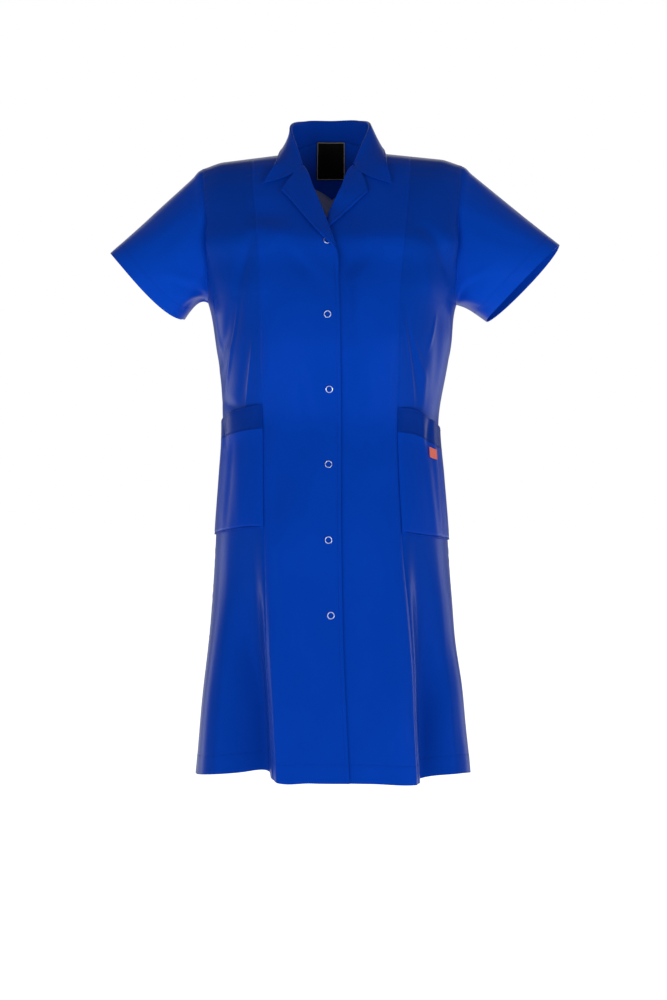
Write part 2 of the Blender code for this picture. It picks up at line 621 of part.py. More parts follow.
def build_turned(name, grid, material):
    """A collar or lapel: its thickness goes inside its fold."""
    normal = unit(np.cross(np.gradient(grid, axis=1), np.gradient(grid, axis=0)))
    inside = np.sum(normal[0] * (grid[-1] - grid[0]))
    inner = grid + normal * (CLOTH if inside > 0 else -CLOTH)
    make_object(name, *wall_mesh(grid, inner), material)


def build_pockets(cloth, tab):
    """A patch and a band across its mouth on each side front, and the tab on the left one."""
    shares = SIDE_SHARES[None, :]
    sides = ("first_column", "last_column")
    for side in SIDES:
        patch = pocket_surface(side, shares, np.linspace(0.0, 1.0, 6)[:, None], "patch")
        band = pocket_surface(side, shares, np.linspace(0.0, 1.0, 3)[:, None], "band")
        build_layer("pocket_" + side, patch, cloth, sides + ("first_row",))
        build_layer("pocket_band_" + side, band, cloth, sides + ("last_row",))
    share, down = np.linspace(*TAB["share"], 4)[None, :], np.linspace(*TAB["down"], 3)[:, None]
    build_layer("pocket_tab", pocket_surface("left", share, down, "patch", CLOTH + LAYER_GAP), tab)


def spot_on_front(grid, x, drop):
    """The point at x on the faceted front, on the line across it at that drop."""
    row = np.searchsorted(ROWS, drop) - 1
    line = mix(grid[row], grid[row + 1], (drop - ROWS[row]) / (ROWS[row + 1] - ROWS[row]))
    line = line[np.argsort(line[:, 0])]
    return np.array([x, np.interp(x, line[:, 0], line[:, 1]), np.interp(x, line[:, 0], line[:, 2])])


def build_studs(front, metal):
    """Press-stud rings down the right front."""
    around = np.linspace(0.0, 2 * np.pi, 11, endpoint=False)[:, None]
    rim = np.linspace(0.0, 2 * np.pi, 5, endpoint=False)[:, None, None]
    for number, x in enumerate(STUDS["x"]):
        drop = STUDS["first"] + number * STUDS["pitch"]
        spot, beside, below = (spot_on_front(front, x + across, drop + down)
                               for across, down in ((0.0, 0.0), (4.0, 0.0), (0.0, 4.0)))
        right, down = unit(beside - spot), unit(below - spot)
        out = unit(np.cross(down, right))
        circle = np.cos(around) * right + np.sin(around) * down
        centre = spot + out * (STUD_GAP + STUD_RIM[1])
        ring = centre + (STUD_RADIUS + STUD_RIM[0] * np.cos(rim)) * circle + STUD_RIM[1] * np.sin(rim) * out
        index = np.arange(ring.shape[0] * ring.shape[1]).reshape(ring.shape[:2])
        index = np.pad(index, ((0, 1), (0, 1)), mode="wrap")
        faces = np.stack([index[:-1, :-1], index[:-1, 1:], index[1:, 1:], index[1:, :-1]], -1).reshape(-1, 4)
        make_object("stud_%d" % (number + 1), ring.reshape(-1, 3), faces, metal)


def build_coat():
    for leftover in list(bpy.data.objects):
        bpy.data.objects.remove(leftover)
    cloth, label, tab, metal = (make_material(name) for name in MATERIALS)
    fronts, back = build_body(cloth)
    build_turned("collar", collar_grid(fronts, back), cloth)
    for side in SIDES:
        build_turned("lapel_" + side, lapel_grid(side), cloth)
    build_pockets(cloth, tab)
    build_layer("back_facing", facing_grid(), cloth)
    build_layer("neck_label", label_grid(), label)
    build_studs(fronts["right"], metal)


build_coat()
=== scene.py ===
"""Looks of a women's short-sleeved work coat, filled out as if worn, with no wearer in it.

Every cut-and-sewn piece is a thin wall of cloth on the form of its CAD solid, worked out on a fine
grid in millimetres. The frame: +Z up, -Y is the front, +X is the wearer's left. The origin lies
midway between the two shoulder-neck points. Left and right are the wearer's. A "drop" is a distance
down from the shoulder-neck points. Girth counts round the coat: 0 front edge, 1 princess seam,
2 side seam, 3 the middle of the back.
"""

import bpy
import numpy as np
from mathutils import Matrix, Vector


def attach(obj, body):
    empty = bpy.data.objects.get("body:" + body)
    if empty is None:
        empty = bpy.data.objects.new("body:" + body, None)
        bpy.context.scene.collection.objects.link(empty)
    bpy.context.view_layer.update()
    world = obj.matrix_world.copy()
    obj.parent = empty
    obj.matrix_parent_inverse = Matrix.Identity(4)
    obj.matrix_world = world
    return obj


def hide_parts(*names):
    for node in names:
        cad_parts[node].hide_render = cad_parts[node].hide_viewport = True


# ---- sizes, in millimetres ----------------------------------------------------------------------
CLOTH = 1.4            # thickness of one wall of cloth
SEAM_TOUCH = 0.1       # sewn pieces meet this closely
SEAM_TUCK = 1.0        # a stand is let in this far beside the edge it stands on
LAYER_GAP = 0.8        # gap between a panel and what is sewn on it
NECK_HALF = 68.0       # shoulder-neck point, from the middle
NECK_RISE = 2.0        # and above the origin
NAPE_BACK = 62.0       # middle of the back neck seam, behind the origin
NAPE_RISE = 27.0       # and above it
NAPE_GIRTH = 2.62      # the girth of the line down the back from the shoulder-neck point
NAPE_DROPS = np.linspace(0.0, 120.0, 481)   # drops among which the neckline's is looked up
NAPE_FADE = 360.0      # what the neckline stands higher has faded out at this level
NAPE_SPREAD = 16.0     # the rows below the neckline are spread upwards by this much
NAPE_SPREAD_LEVELS = (0.0, 70.0)
SHOULDER_END = 198.0   # outer end of the shoulder seam, from the middle
SHOULDER_SLOPE = 0.115
SHOULDER_ROUND = {"by": 7.0, "from": 165.0, "to": 205.0}
SHOULDER_TILT = 0.013  # the wearer's left shoulder hangs higher, by this much per millimetre out
SHOULDER_FADE = 150.0  # the shoulder line's slope has faded out at this drop
SHOULDER_CALM = (8.0, 45.0)   # creases start from the shoulder seam between these drops
UNDERARM = 230.0       # drop of the lowest point of the armhole
HEM = 948.0            # drop of the hem
HEM_ROWS_FROM = 905.0  # the grid's rows lie closer below this drop
FOLD_RADIUS = 2.2      # radius at which collar and lapels turn over
FOLD_ROWS = {"stand": 9, "arc": 13, "fall": 30}
FALL_ROWS = (12.0, 22.0)      # the fall's unevenness grows between these rows
GORGE = 22.0           # drop at which collar and lapel meet
COLLAR_LIFT = {"roll": 0.0, "half": 3.4, "edge": 4.8}   # how far its lines stand off the fronts
LAPEL_START = 0.7      # the lapel starts this far below the gorge
LAPEL_LIFT = 2.4       # and its outer edge stands this far off the front
LAPEL_BOW = {"right": 4.0, "left": 2.0}   # how far that edge bows out
LAPEL_SETBACK = 5.3    # beside the lapel the front's edge stops this far short of the roll line
LAPEL_SETBACK_DROPS = (10.0, 22.0, 137.0, 161.0)
UNDER_LAP = 2.2        # how far the left front lies inside the right one
UNDER_LAP_FADE = (15.0, 60.0)   # it does so less and less between these places
UNDER_LAPEL = 8.2      # and this much further beside the lapels
UNDER_LAPEL_DROPS = (60.0, 100.0, 150.0, 200.0)

# The torso's cross-section at each drop: half widths, front and back depths, and ten times the
# exponent of its curve.
SECTIONS = {
    "drop":  (0, 4, 12, 30, 60, 110, 170, 205, 230, 285, 345, 405, 490, 560, 650, 730, 815, 950),
    "right": (200, 202, 204, 207, 212, 213, 206, 197, 188, 175, 166, 165, 171, 176, 181, 187, 196, 208),
    "left":  (200, 202, 204, 207, 212, 213, 206, 198, 190, 179, 168, 162, 169, 175, 181, 187, 196, 208),
    "front": (0, 15, 28, 46, 68, 95, 118, 129, 133, 131, 118, 112, 124, 134, 140, 146, 153, 163),
    "back":  (0, 14, 27, 42, 60, 82, 98, 103, 104, 98, 84, 76, 92, 108, 116, 124, 133, 146),
    "round": (38, 38, 37, 35, 32, 28, 25, 24, 23, 23, 23, 23, 23, 23, 23, 23, 23, 23),
}
# Edges of the fronts and their princess seams, from the middle.
FRONT_EDGES = {
    "drop":           (0, 22, 58, 113, 135, 161, 204, 350, 600, 750, 950),
    "right_front":    (-68, -44, -28, -7, 0, 8, 10, 13, 14, 17, 26),
    "left_front":     (68, 32, 13, -11, -20, -27, -30, -30, -28, -24, -16),
    "right_princess": (-122, -121, -119, -113, -111, -109, -108, -104, -101, -97, -87),
    "left_princess":  (120, 119, 116, 110, 107, 105, 102, 97, 106, 118, 126),
}
# The armhole's front edge, from the middle.
ARMHOLE = {
    "drop": (0, 30, 60, 110, 150, 190, 215, 230),
    "x":    (198, 196, 193.5, 191, 190, 189, 188.5, 190),
}
# The skirt's large folds.
FOLDS = (
    # side, girth, reach fore, reach aft, depth, start, full
    ("right", 1.13, 0.15, 0.31, -44.0, 540.0, 930.0),
    ("right", 0.91, 0.50, 0.09, 8.0, 520.0, 900.0),
    ("right", 1.55, 0.24, 0.28, 9.0, 560.0, 930.0),
    ("right", 2.34, 0.22, 0.24, -15.0, 600.0, 940.0),
    ("right", 2.66, 0.22, 0.30, 9.0, 580.0, 930.0),
    ("left", 1.16, 0.16, 0.30, -36.0, 520.0, 940.0),
    ("left", 0.94, 0.45, 0.08, 11.0, 500.0, 900.0),
    ("left", 1.62, 0.26, 0.30, 8.0, 580.0, 930.0),
    ("left", 2.30, 0.20, 0.24, -13.0, 580.0, 940.0),
    ("left", 2.62, 0.24, 0.30, 11.0, 600.0, 930.0),
)
# How much higher than its lowest corner the hem hangs, by girth.
HEM_RISE = {
    "girth": (0.0, 0.5, 1.0, 1.15, 1.3, 1.45, 1.7, 2.0, 2.4, 3.0),
    "right": (3.0, 3.6, 7.5, 17.5, 14.0, 11.0, 7.0, 3.8, 0.0, 0.0),
    "left":  (4.0, 2.5, 0.5, 3.0, 8.0, 10.0, 8.5, 4.0, 0.0, 0.0),
    "from": 600.0,
}
# Creases on the front half of the coat, by distance from the middle and drop. A ridge has a
# positive depth and a trough a negative one.
FRONT_CREASES = (
    # from x, drop, to x, drop, bow, width, depth
    (-112, 128, -142, 232, -5, 10, -4.2),
    (-134, 120, -52, 136, 0, 15, 2.4),
    (-130, 88, -60, 104, 0, 18, -2.0),
    (-138, 215, -150, 300, 1, 8, -2.8),
    (-179, 212, -160, 318, -2, 2.1, 1.7),
    (-140, 222, -159, 372, 2, 2.1, 1.8),
    (-150, 225, -166, 330, 1, 6, -2.4),
    (-117, 286, -128, 392, 2, 2.0, 1.5),
    (-124, 282, -137, 392, 2, 6, -1.8),
    (-82, 142, -12, 226, 7, 13, -2.6),
    (-64, 150, 2, 214, 6, 10, 1.4),
    (-100, 250, -93, 400, 2, 9, 1.2),
    (-47, 330, -29, 440, 2, 8, -1.7),
    (-92, 330, -100, 440, 0, 10, -1.4),
    (-128, 398, -165, 374, 0, 6, -1.4),
    (130, 112, 180, 206, 7, 11, -4.8),
    (116, 132, 150, 236, 6, 9, 1.8),
    (179, 228, 172, 312, 1, 4.5, 2.0),
    (102, 236, 121, 392, 3, 2.1, 1.8),
    (110, 250, 130, 392, -1, 6, -2.2),
    (116, 262, 140, 352, -3, 2.2, 1.6),
    (156, 246, 140, 306, 2, 2.2, 1.4),
    (162, 236, 150, 380, 0, 8, -2.4),
    (136, 318, 133, 398, 0, 5, 1.5),
    (74, 146, 12, 208, -6, 13, -2.2),
    (21, 160, 27, 300, 1, 9, -5.0),
    (44, 330, 36, 440, 2, 11, -1.3),
    (78, 300, 84, 420, 2, 9, 1.2),
    (-30, 470, -40, 640, 3, 15, 1.5),
    (52, 500, 58, 780, 3, 17, -1.6),
    (-58, 600, -68, 940, 4, 15, -2.0),
    (84, 580, 104, 940, 2, 12, 1.6),
    (-84, 440, -80, 590, 0, 10, -1.2),
)
# Level swells of the front half: where the sloping chest breaks to the upright front, and below the
# bust, where the cloth falls straighter than the body.
LEVEL_SWELLS = (
    # drop, width, depth
    (134.0, 38.0, 5.5),
    (144.0, 20.0, 3.6),
    (335.0, 70.0, 5.0),
)
# Creases on the back, by distance from the middle and drop.
BACK_CREASES = (
    # from x, drop, to x, drop, bow, width, depth
    (-160, 128, -92, 260, -8, 12, -5.0),
    (-136, 112, -66, 240, -6, 10, 3.2),
    (162, 124, 88, 268, 9, 13, -5.4),
    (138, 106, 72, 232, 6, 10, 3.0),
    (-172, 240, -140, 372, 4, 7, 3.0),
    (170, 232, 134, 356, -5, 8, 3.2),
    (-150, 318, -36, 350, 6, 8, -3.6),
    (-128, 344, -14, 376, 7, 7, 2.8),
    (-120, 372, -30, 398, 5, 8, -3.0),
    (144, 310, 30, 346, 6, 8, -3.8),
    (120, 340, 16, 370, 7, 7, 2.6),
    (112, 382, 34, 396, 4, 8, -2.8),
    (-22, 110, -12, 300, 3, 15, -2.0),
    (34, 130, 22, 316, -3, 14, -1.8),
    (-60, 430, -76, 760, 4, 15, 3.0),
    (-110, 470, -124, 800, -4, 13, -2.6),
    (68, 440, 86, 780, -4, 15, 3.2),
    (122, 480, 134, 820, 3, 13, -2.4),
    (4, 480, -8, 900, 5, 17, -2.6),
)
# Creases on a sleeve, by half turns from the shoulder round by the front, and by the share of the
# way from armhole to hem.
SLEEVE_CREASES = {
    # from half turns, share, to half turns, share, bow, width, depth
    "right": ((0.86, 0.02, 0.62, 0.62, 0.03, 0.045, -2.6), (0.76, 0.05, 0.50, 0.70, 0.03, 0.04, 1.7),
              (0.95, 0.10, 0.84, 0.86, -0.02, 0.04, -2.0), (0.30, 0.06, 0.36, 0.80, 0.02, 0.06, -1.3),
              (1.16, 0.04, 1.38, 0.66, 0.03, 0.05, -2.5), (1.26, 0.05, 1.50, 0.74, 0.02, 0.045, 1.6),
              (1.66, 0.08, 1.60, 0.84, 0.02, 0.06, -1.2), (0.88, 0.34, 0.92, 1.04, 0.0, 0.020, 2.0),
              (0.93, 0.34, 0.965, 1.04, 0.0, 0.022, -2.4)),
    "left": ((0.88, 0.02, 0.66, 0.56, -0.03, 0.045, -2.8), (0.78, 0.04, 0.52, 0.62, 0.02, 0.04, 1.8),
             (0.94, 0.12, 0.80, 0.90, 0.02, 0.04, -1.9), (0.36, 0.05, 0.30, 0.84, 0.02, 0.055, -1.5),
             (1.14, 0.04, 1.34, 0.60, 0.03, 0.05, -2.4), (1.24, 0.06, 1.46, 0.70, 0.02, 0.045, 1.5),
             (1.70, 0.06, 1.64, 0.80, 0.02, 0.06, -1.4)),
}
# Creases on a pocket, by share of the way to the side seam and drop: what the hand pulls down.
POCKET_CREASES = {
    # from share, drop, to share, drop, bow, width, depth
    "right": ((0.62, 396, 0.60, 450, 0.0, 0.035, -2.4), (0.70, 398, 0.66, 560, 0.01, 0.05, 2.0),
              (0.40, 428, 0.46, 590, 0.01, 0.05, -1.6), (0.28, 440, 0.24, 590, 0.0, 0.07, 1.4),
              (0.84, 430, 0.80, 590, 0.0, 0.045, -1.4)),
    "left": ((0.26, 384, 0.33, 470, 0.0, 0.035, 2.2), (0.40, 390, 0.38, 450, 0.0, 0.045, -2.8),
             (0.50, 392, 0.52, 600, 0.01, 0.04, 2.0), (0.60, 400, 0.62, 560, 0.0, 0.035, -1.8),
             (0.36, 450, 0.44, 610, -0.01, 0.05, 1.8), (0.72, 470, 0.70, 610, 0.0, 0.04, 1.8),
             (0.80, 430, 0.84, 560, 0.0, 0.04, -1.6)),
}

# The collar from the middle of the back (along 0) to near the gorge (along 1).
COLLAR = {
    "along":  (0.00, 0.30, 0.60, 0.80),
    "roll_x": (0, 40, 60, 49),
    "roll_y": (70, 54, 10, -20),
    "roll_z": (62, 60, 45, 12),
    "half_x": (0, 46, 72, 70),
    "half_y": (77, 61, 8, -29),
    "half_z": (38, 36, 27, -3),
    "edge_x": (0, 53, 83, 88),
    "edge_y": (77, 60, 2, -45),
    "edge_z": (9, 9, 7, -19),
}
COLLAR_SHIFT = -4.5    # its fronts lie this far to one side
COLLAR_INSET = 3.5     # except the right fall, which is drawn in this far
# Where its middle line and its outer edge end over each front: from the middle, and the drop.
COLLAR_FRONT = {
    "right": {"half": (-60.0, 38.5), "edge": (-104.0, 51.0)},
    "left": {"half": (46.0, 38.5), "edge": (90.0, 54.0)},
}
COLLAR_NAPE = 0.6      # along the collar, where the shoulder-neck point is
COLLAR_DROPS = {"along": (0.6, 0.7333, 0.8667, 1.0), "drop": (0, 5, 12, 22)}
# Each lapel's tip and the break where it starts to turn, from the middle and as a drop, and the drop
# at which its sheet ends.
LAPELS = {
    "right": {"tip": (-76.0, 64.5), "break": (8.0, 161.0), "end": 152.0},
    "left": {"tip": (54.0, 69.0), "break": (-21.0, 137.0), "end": 128.0},
}
# The outer and inner corner of each sleeve's hem, from the middle and as a height.
SLEEVES = {
    "right": {"outer": (-338.0, -151.0), "inner": (-225.5, -251.5)},
    "left": {"outer": (348.0, -139.0), "inner": (235.0, -255.0)},
}
SLEEVE_HEM_DEPTH = 52.0    # half of the hem's depth from front to back
SLEEVE_FULLNESS = 11.0     # how far the sleeve rounds out between armhole and hem
SLEEVE_FLATNESS = 0.66     # power of the sine that flattens its section
SLEEVE_HALF_GIRTH = 230.0  # distance along the cloth in one half turn
SLEEVE_CROWN = {"by": 1.5, "at": 8.0, "width": 7.0}   # the ridge below the top of the armhole seam
# How far the hem bows out, at the front and the back. How much fuller that bow is towards the
# underarm, and the cosine of the turn where this makes no difference. How far the sleeve is drawn up
# under the arm, and how wide that hollow is in half turns.
SLEEVE_HEM_BOW = {"right": (8.0, 2.0), "left": (-2.5, 9.0)}
SLEEVE_HEM_LEAN = {"right": 0.9, "left": 0.0}
SLEEVE_HEM_LEVEL = 0.33
SLEEVE_HOLLOW = {"right": 12.0, "left": 3.0}
SLEEVE_HOLLOW_WIDTH = 0.26
# The pockets' lines by the share of the way from the princess seam to the side seam, as drops.
POCKETS = {
    "share":        (0.0, 0.2, 0.4, 0.62, 1.0),
    "right_mouth":  (384.0, 388.5, 395.0, 402.5, 410.0),
    "right_band":   (421.5, 424.5, 429.0, 434.0, 441.0),
    "right_bottom": (569.5, 570.5, 574.5, 578.0, 581.0),
    "left_mouth":   (389.0, 392.0, 405.0, 413.0, 423.0),
    "left_band":    (427.0, 431.0, 441.5, 449.0, 456.0),
    "left_bottom":  (577.0, 581.5, 584.5, 587.0, 589.0),
}
POCKET_GAPE = 6.0          # how far the mouth stands open
POCKET_GAPE_REACH = 26.0   # the gape starts this far below the band
# Towards the side seam a pocket gapes less, and its stitched edges are flatter there and at its sides.
POCKET_GAPE_LOSS = {"by": 0.65, "shares": (0.35, 0.7)}
POCKET_RELIEF_LOSS = {"by": 0.7, "shares": (0.5, 0.75), "sides": 0.9, "width": 7.0}
POCKET_CREASE_SHARE = 0.5  # a pocket follows the creases behind it by this much
POCKET_CLEARANCE = 0.35    # and clears its panel by this much more than a layer's gap
FACING_DEPTH = (50.0, 102.0)   # at its ends and in the middle of the back
FACING_FROM = 0.75         # it starts at this share of the girth of the shoulder seam
FACING_RISE = 1.8          # and its upper edge reaches this far into the collar's seam
LABEL = {"left": -25.0, "right": 21.0, "top": 0.5, "bottom": 70.0, "lift": 3.0,
         "side_curl": 0.6, "curl_width": 20.0, "foot_curl": 0.5, "foot": (30.0, 63.0)}
TAB = {"share": (0.392, 0.512), "down": (0.052, 0.158), "curl": 0.9, "curl_share": (0.5, 0.62)}
STUDS = {"x": (-7.0, -6.5, -4.0, -5.0, -5.0, -1.5), "drop": (145.0, 253.0, 363.0, 475.0, 587.2, 699.0)}
STUD_LIFT = 0.5        # a stud's foot stands this far over the front's creases
STUD_GAP = 0.3         # and its ring this far over the foot
# A stud's ring in section: radius and height, from the rim's inner foot over its top to its outer one.
STUD_SECTION = ((3.95, -0.15), (4.02, 0.4), (4.25, 0.75), (4.6, 0.95), (4.95, 0.98), (5.3, 0.82),
                (5.5, 0.5), (5.58, 0.15), (5.5, -0.15))

# How the pieces are sewn.
SEAM_DIP = 0.7         # a seam line lies this much below the cloth beside it
SEAM_WIDTH = 2.0
PUCKER = 0.42          # and the cloth beside it puckers this much
PUCKER_PITCH = 15.0
PUCKER_REACH = 9.0     # half the width of the puckered strip
STITCH_GROOVE = 1.1    # half the width of the groove that a row of stitches pulls
HEM_DEPTH = 28.0       # the skirt's hem is turned up and stitched this far above its edge
SLEEVE_HEM = 22.0      # and the sleeves' hems this far
HEM_RELIEF = 0.15      # a hem stands this much prouder, and its stitches pull in as much
EDGE_STITCH = 5.5      # topstitching runs this far from the edges of collar, lapels and fronts
EDGE_ROUND = 0.55      # how much a pressed edge is rounded off
POCKET_STITCH = 3.0    # topstitching runs this far from the edges of pockets and bands
STITCH = {"pitch": 3.0, "length": 2.3, "radius": 0.26, "sunk": 0.1}
# Below the break the right front's edge is stitched and curls out, less so below the waist.
EDGE_FROM = (150.0, 175.0)
EDGE_CURL = {"by": 1.3, "width": 12.0, "less": 0.6, "drops": (330.0, 420.0)}

SIDES = {"right": -1.0, "left": 1.0}
# Seeds of what is uneven: the sheets, then the seams, hems and stitched edges.
SEEDS = {"front": 11, "back": 12, "right": 13, "left": 14, "princess": 21, "side": 22, "armhole": 24,
         "hem": 31, "sleeve_hem": 32, "front_edge": 41, "collar": 51,
         "band_lower": 61, "band_upper": 62, "pocket": 63}
UNDERARM_ROW = 71      # the row of the grids at the underarm
DROPS = np.concatenate([np.linspace(0.0, UNDERARM, UNDERARM_ROW + 1),
                        np.linspace(UNDERARM, HEM_ROWS_FROM, 160)[1:],
                        np.linspace(HEM_ROWS_FROM, HEM, 30)[1:]])
# Columns of one half of the back, closest at the side seam.
BACK_SHARES = np.linspace(0.0, 1.0, 92)
BACK_GIRTHS = 2.0 + 0.35 * (1.0 - np.cos(BACK_SHARES * np.pi / 2)) + 0.65 * BACK_SHARES ** 1.25


# ---- curves and surfaces ------------------------------------------------------------------------
def smooth(table, column, at, key="drop"):
    """Cubic curve through one column of a table, its slope at each knot taken from the neighbours."""
    knots = np.asarray(table[key], dtype=float)
    values = np.asarray(table[column], dtype=float)
    slopes = np.gradient(values, knots)
    at = np.clip(np.asarray(at, dtype=float), knots[0], knots[-1])
    i = np.clip(np.searchsorted(knots, at, side="right") - 1, 0, len(knots) - 2)
    span = knots[i + 1] - knots[i]
    t = (at - knots[i]) / span
    return (values[i] * (2 * t**3 - 3 * t**2 + 1) + slopes[i] * span * (t**3 - 2 * t**2 + t)
            + values[i + 1] * (3 * t**2 - 2 * t**3) + slopes[i + 1] * span * (t**3 - t**2))


def ease(low, high, at):
    """0 below low and 1 above high, with a smooth step between."""
    t = np.clip((np.asarray(at, dtype=float) - low) / (high - low), 0.0, 1.0)
    return t * t * (3.0 - 2.0 * t)


def between(drops, at):
    """Rises from the first drop to the second and falls again from the third to the fourth."""
    return ease(drops[0], drops[1], at) * (1.0 - ease(drops[2], drops[3], at))


def bump(at, middle, width):
    """A rounded ridge, 1 at its middle: the bell curve exp(-((at - middle) / width)^2)."""
    return np.exp(-((at - middle) / width) ** 2)


def mix(first, last, share):
    """A share of the way from the first to the last."""
    return first + (last - first) * share


def unit(vectors):
    """The vectors divided by their lengths."""
    return vectors / np.maximum(np.linalg.norm(vectors, axis=-1, keepdims=True), 1e-9)


def close_at_ends(count):
    """Shares from 0 to 1 by half a turn of the cosine, so that they lie closest at both ends."""
    return 0.5 * (1.0 - np.cos(np.linspace(0.0, np.pi, count)))


def half_width(x, drop):
    """Half width of the cross-section on the side on which x lies."""
    return np.where(np.asarray(x) < 0, smooth(SECTIONS, "right", drop), smooth(SECTIONS, "left", drop))


def shoulder_height(x):
    """Height of the shoulder line: a slight slope, rounded off at its outer end."""
    out = np.abs(x)
    slope = NECK_RISE - SHOULDER_SLOPE * np.maximum(out - NECK_HALF, 0.0)
    rounding = SHOULDER_ROUND["by"] * ease(SHOULDER_ROUND["from"], SHOULDER_ROUND["to"], out)
    return slope - rounding + SHOULDER_TILT * x


def exponent(drop):
    """Exponent of the cross-section's curve."""
    return smooth(SECTIONS, "round", drop) / 10.0


def depth_share(share, drop):
    """How deep the unit cross-section is at a share of its half width."""
    n = exponent(drop)
    return (1.0 - np.clip(np.abs(share), 0.0, 1.0) ** n) ** (1.0 / n)


def bearing_of(x, drop):
    """Bearing in the unit cross-section of a given x: 0 at the front, a quarter turn at the side."""
    share = np.clip(np.abs(x) / half_width(x, drop), 0.0, 1.0)
    return np.sign(x) * np.arctan2(share, depth_share(share, drop))


def fold_depth(side, girth, drop):
    """Sum of the folds: rounded ridges and valleys round the girth that grow down the skirt."""
    total = np.zeros(np.broadcast(girth, drop).shape)
    for fold_side, middle, fore, aft, depth, start, full in FOLDS:
        if fold_side == side:
            near = np.clip((girth - middle) / np.where(girth < middle, fore, aft), -1.0, 1.0)
            total = total + depth * 0.5 * (1.0 + np.cos(np.pi * near)) * ease(start, full, drop)
    return total


def torso_point(side, bearing, drop, girth, rise=0.0):
    """Points of the coat's outer surface.

    The unit cross-section |x|^n + |y|^n = 1 is met at the bearing and scaled by the half width and
    by the front or back depth at that drop. The shoulder line's slope fades out below it, and the
    folds move the points straight out of the cross-section. The hem rises by its table.
    """
    bearing, drop, girth = np.broadcast_arrays(bearing, drop, girth)
    s, c = np.sin(bearing), np.cos(bearing)
    n = exponent(drop)
    radius = (np.abs(s)**n + np.abs(c)**n) ** (-1.0 / n)
    wide = half_width(s, drop)
    deep = np.where(c > 0, smooth(SECTIONS, "front", drop), smooth(SECTIONS, "back", drop))
    x, y = radius * s * wide, -radius * c * deep
    out = unit(np.stack([x / wide**2, y / np.maximum(deep, 1.0)**2], axis=-1))
    fold = fold_depth(side, girth, drop)
    x, y = x + out[..., 0] * fold, y + out[..., 1] * fold
    hem = smooth(HEM_RISE, side, girth, "girth") * ease(HEM_RISE["from"], HEM, drop)
    z = -drop + shoulder_height(x) * (1.0 - ease(0.0, SHOULDER_FADE, drop)) + rise + hem
    return np.stack([x, y, z], axis=-1)


def under_lap(x, drop):
    """How far the left front lies inside the right one that laps over it."""
    inside = UNDER_LAP + UNDER_LAPEL * between(UNDER_LAPEL_DROPS, drop)
    return inside * (1.0 - ease(*UNDER_LAP_FADE, x))


def grid_normals(grid, closed=False):
    """Unit normals of a grid, pointing away from its upright middle axis, or from a tube's own."""
    if closed:
        grid = np.concatenate([grid[:, -1:], grid, grid[:, :1]], axis=1)
    normal = unit(np.cross(np.gradient(grid, axis=1), np.gradient(grid, axis=0)))
    radial = grid - grid.mean(axis=1, keepdims=True) if closed else grid * [1.0, 1.0, 0.0]
    normal = normal * np.sign(np.sum(normal * radial))
    return normal[:, 1:-1] if closed else normal


def normals_of(surface, side, first, second, steps):
    """Unit normals of a surface function at two arrays of its arguments, pointing out and up."""
    near_first = surface(side, first + steps[0], second) - surface(side, first - steps[0], second)
    near_second = surface(side, first, second + steps[1]) - surface(side, first, second - steps[1])
    normal = unit(np.cross(near_first, near_second))
    point = surface(side, first, second)
    outward = np.sum(normal * (point * [1.0, 1.0, 0.0] + [0.0, 0.0, 60.0]), axis=-1, keepdims=True)
    return normal * np.sign(outward)


def distance_across(grid, from_last=False):
    """Distance along each row of a grid from its first or its last column."""
    steps = np.linalg.norm(np.diff(grid, axis=1), axis=-1)
    run = np.concatenate([np.zeros((len(grid), 1)), np.cumsum(steps, axis=1)], axis=1)
    return run[:, -1:] - run if from_last else run


def distance_down(grid, from_last=False):
    """Distance along each column of a grid from its first or its last row."""
    return np.swapaxes(distance_across(np.swapaxes(grid, 0, 1), from_last), 0, 1)


def distance_inside(grid):
    """Distance along each row of a grid from the nearer of its first and last columns."""
    return np.minimum(distance_across(grid), distance_across(grid, from_last=True))


def distance_along(points):
    """Distance along one line of points from the first."""
    return distance_across(points[None])[0]


def raised(grid, height, closed=False):
    """The grid with each of its points moved out by a height."""
    return grid + grid_normals(grid, closed) * height[..., None]


# ---- what sewing and wear do to the cloth -------------------------------------------------------
def creases(table, x, drop):
    """Height of the creases at two coordinates of a panel.

    Each crease runs between two places, bowed to one side by four times bow times t times 1 - t,
    is a bell curve across, and swells and dies away along it by a power of the sine.
    """
    height = np.zeros(np.broadcast(x, drop).shape)
    for x_0, drop_0, x_1, drop_1, bow, width, depth in table:
        run_x, run_drop = x_1 - x_0, drop_1 - drop_0
        length = np.hypot(run_x, run_drop)
        t = ((x - x_0) * run_x + (drop - drop_0) * run_drop) / length**2
        off = ((x - x_0) * run_drop - (drop - drop_0) * run_x) / length - bow * 4 * t * (1 - t)
        height = height + depth * bump(off, 0.0, width) * np.sin(np.pi * np.clip(t, 0.0, 1.0)) ** 0.8
    return height


def unevenness(x, drop, seed, depth=0.55, length=(70.0, 260.0)):
    """Cloth is never quite flat: eight crossing sine waves of seeded length, slant and phase."""
    rng = np.random.default_rng(seed)
    height = 0.0
    for wave in rng.uniform(*length, 8):
        slant, phase = rng.uniform(-0.6, 0.6), rng.uniform(0.0, 2 * np.pi)
        height = height + np.sin(2 * np.pi * (x + slant * drop) / wave + phase)
    return depth * height / np.sqrt(8.0)


def puckers(along, seed):
    """From -1 to 1 along a seam: a wave whose pitch and height both wander."""
    phase = np.random.default_rng(seed).uniform(0.0, 2 * np.pi, 3)
    wander = 1.7 * np.sin(2 * np.pi * along / 97.0 + phase[0])
    swell = 0.55 + 0.45 * np.sin(2 * np.pi * along / 61.0 + phase[1])
    return swell * np.sin(2 * np.pi * along / PUCKER_PITCH + wander + phase[2])


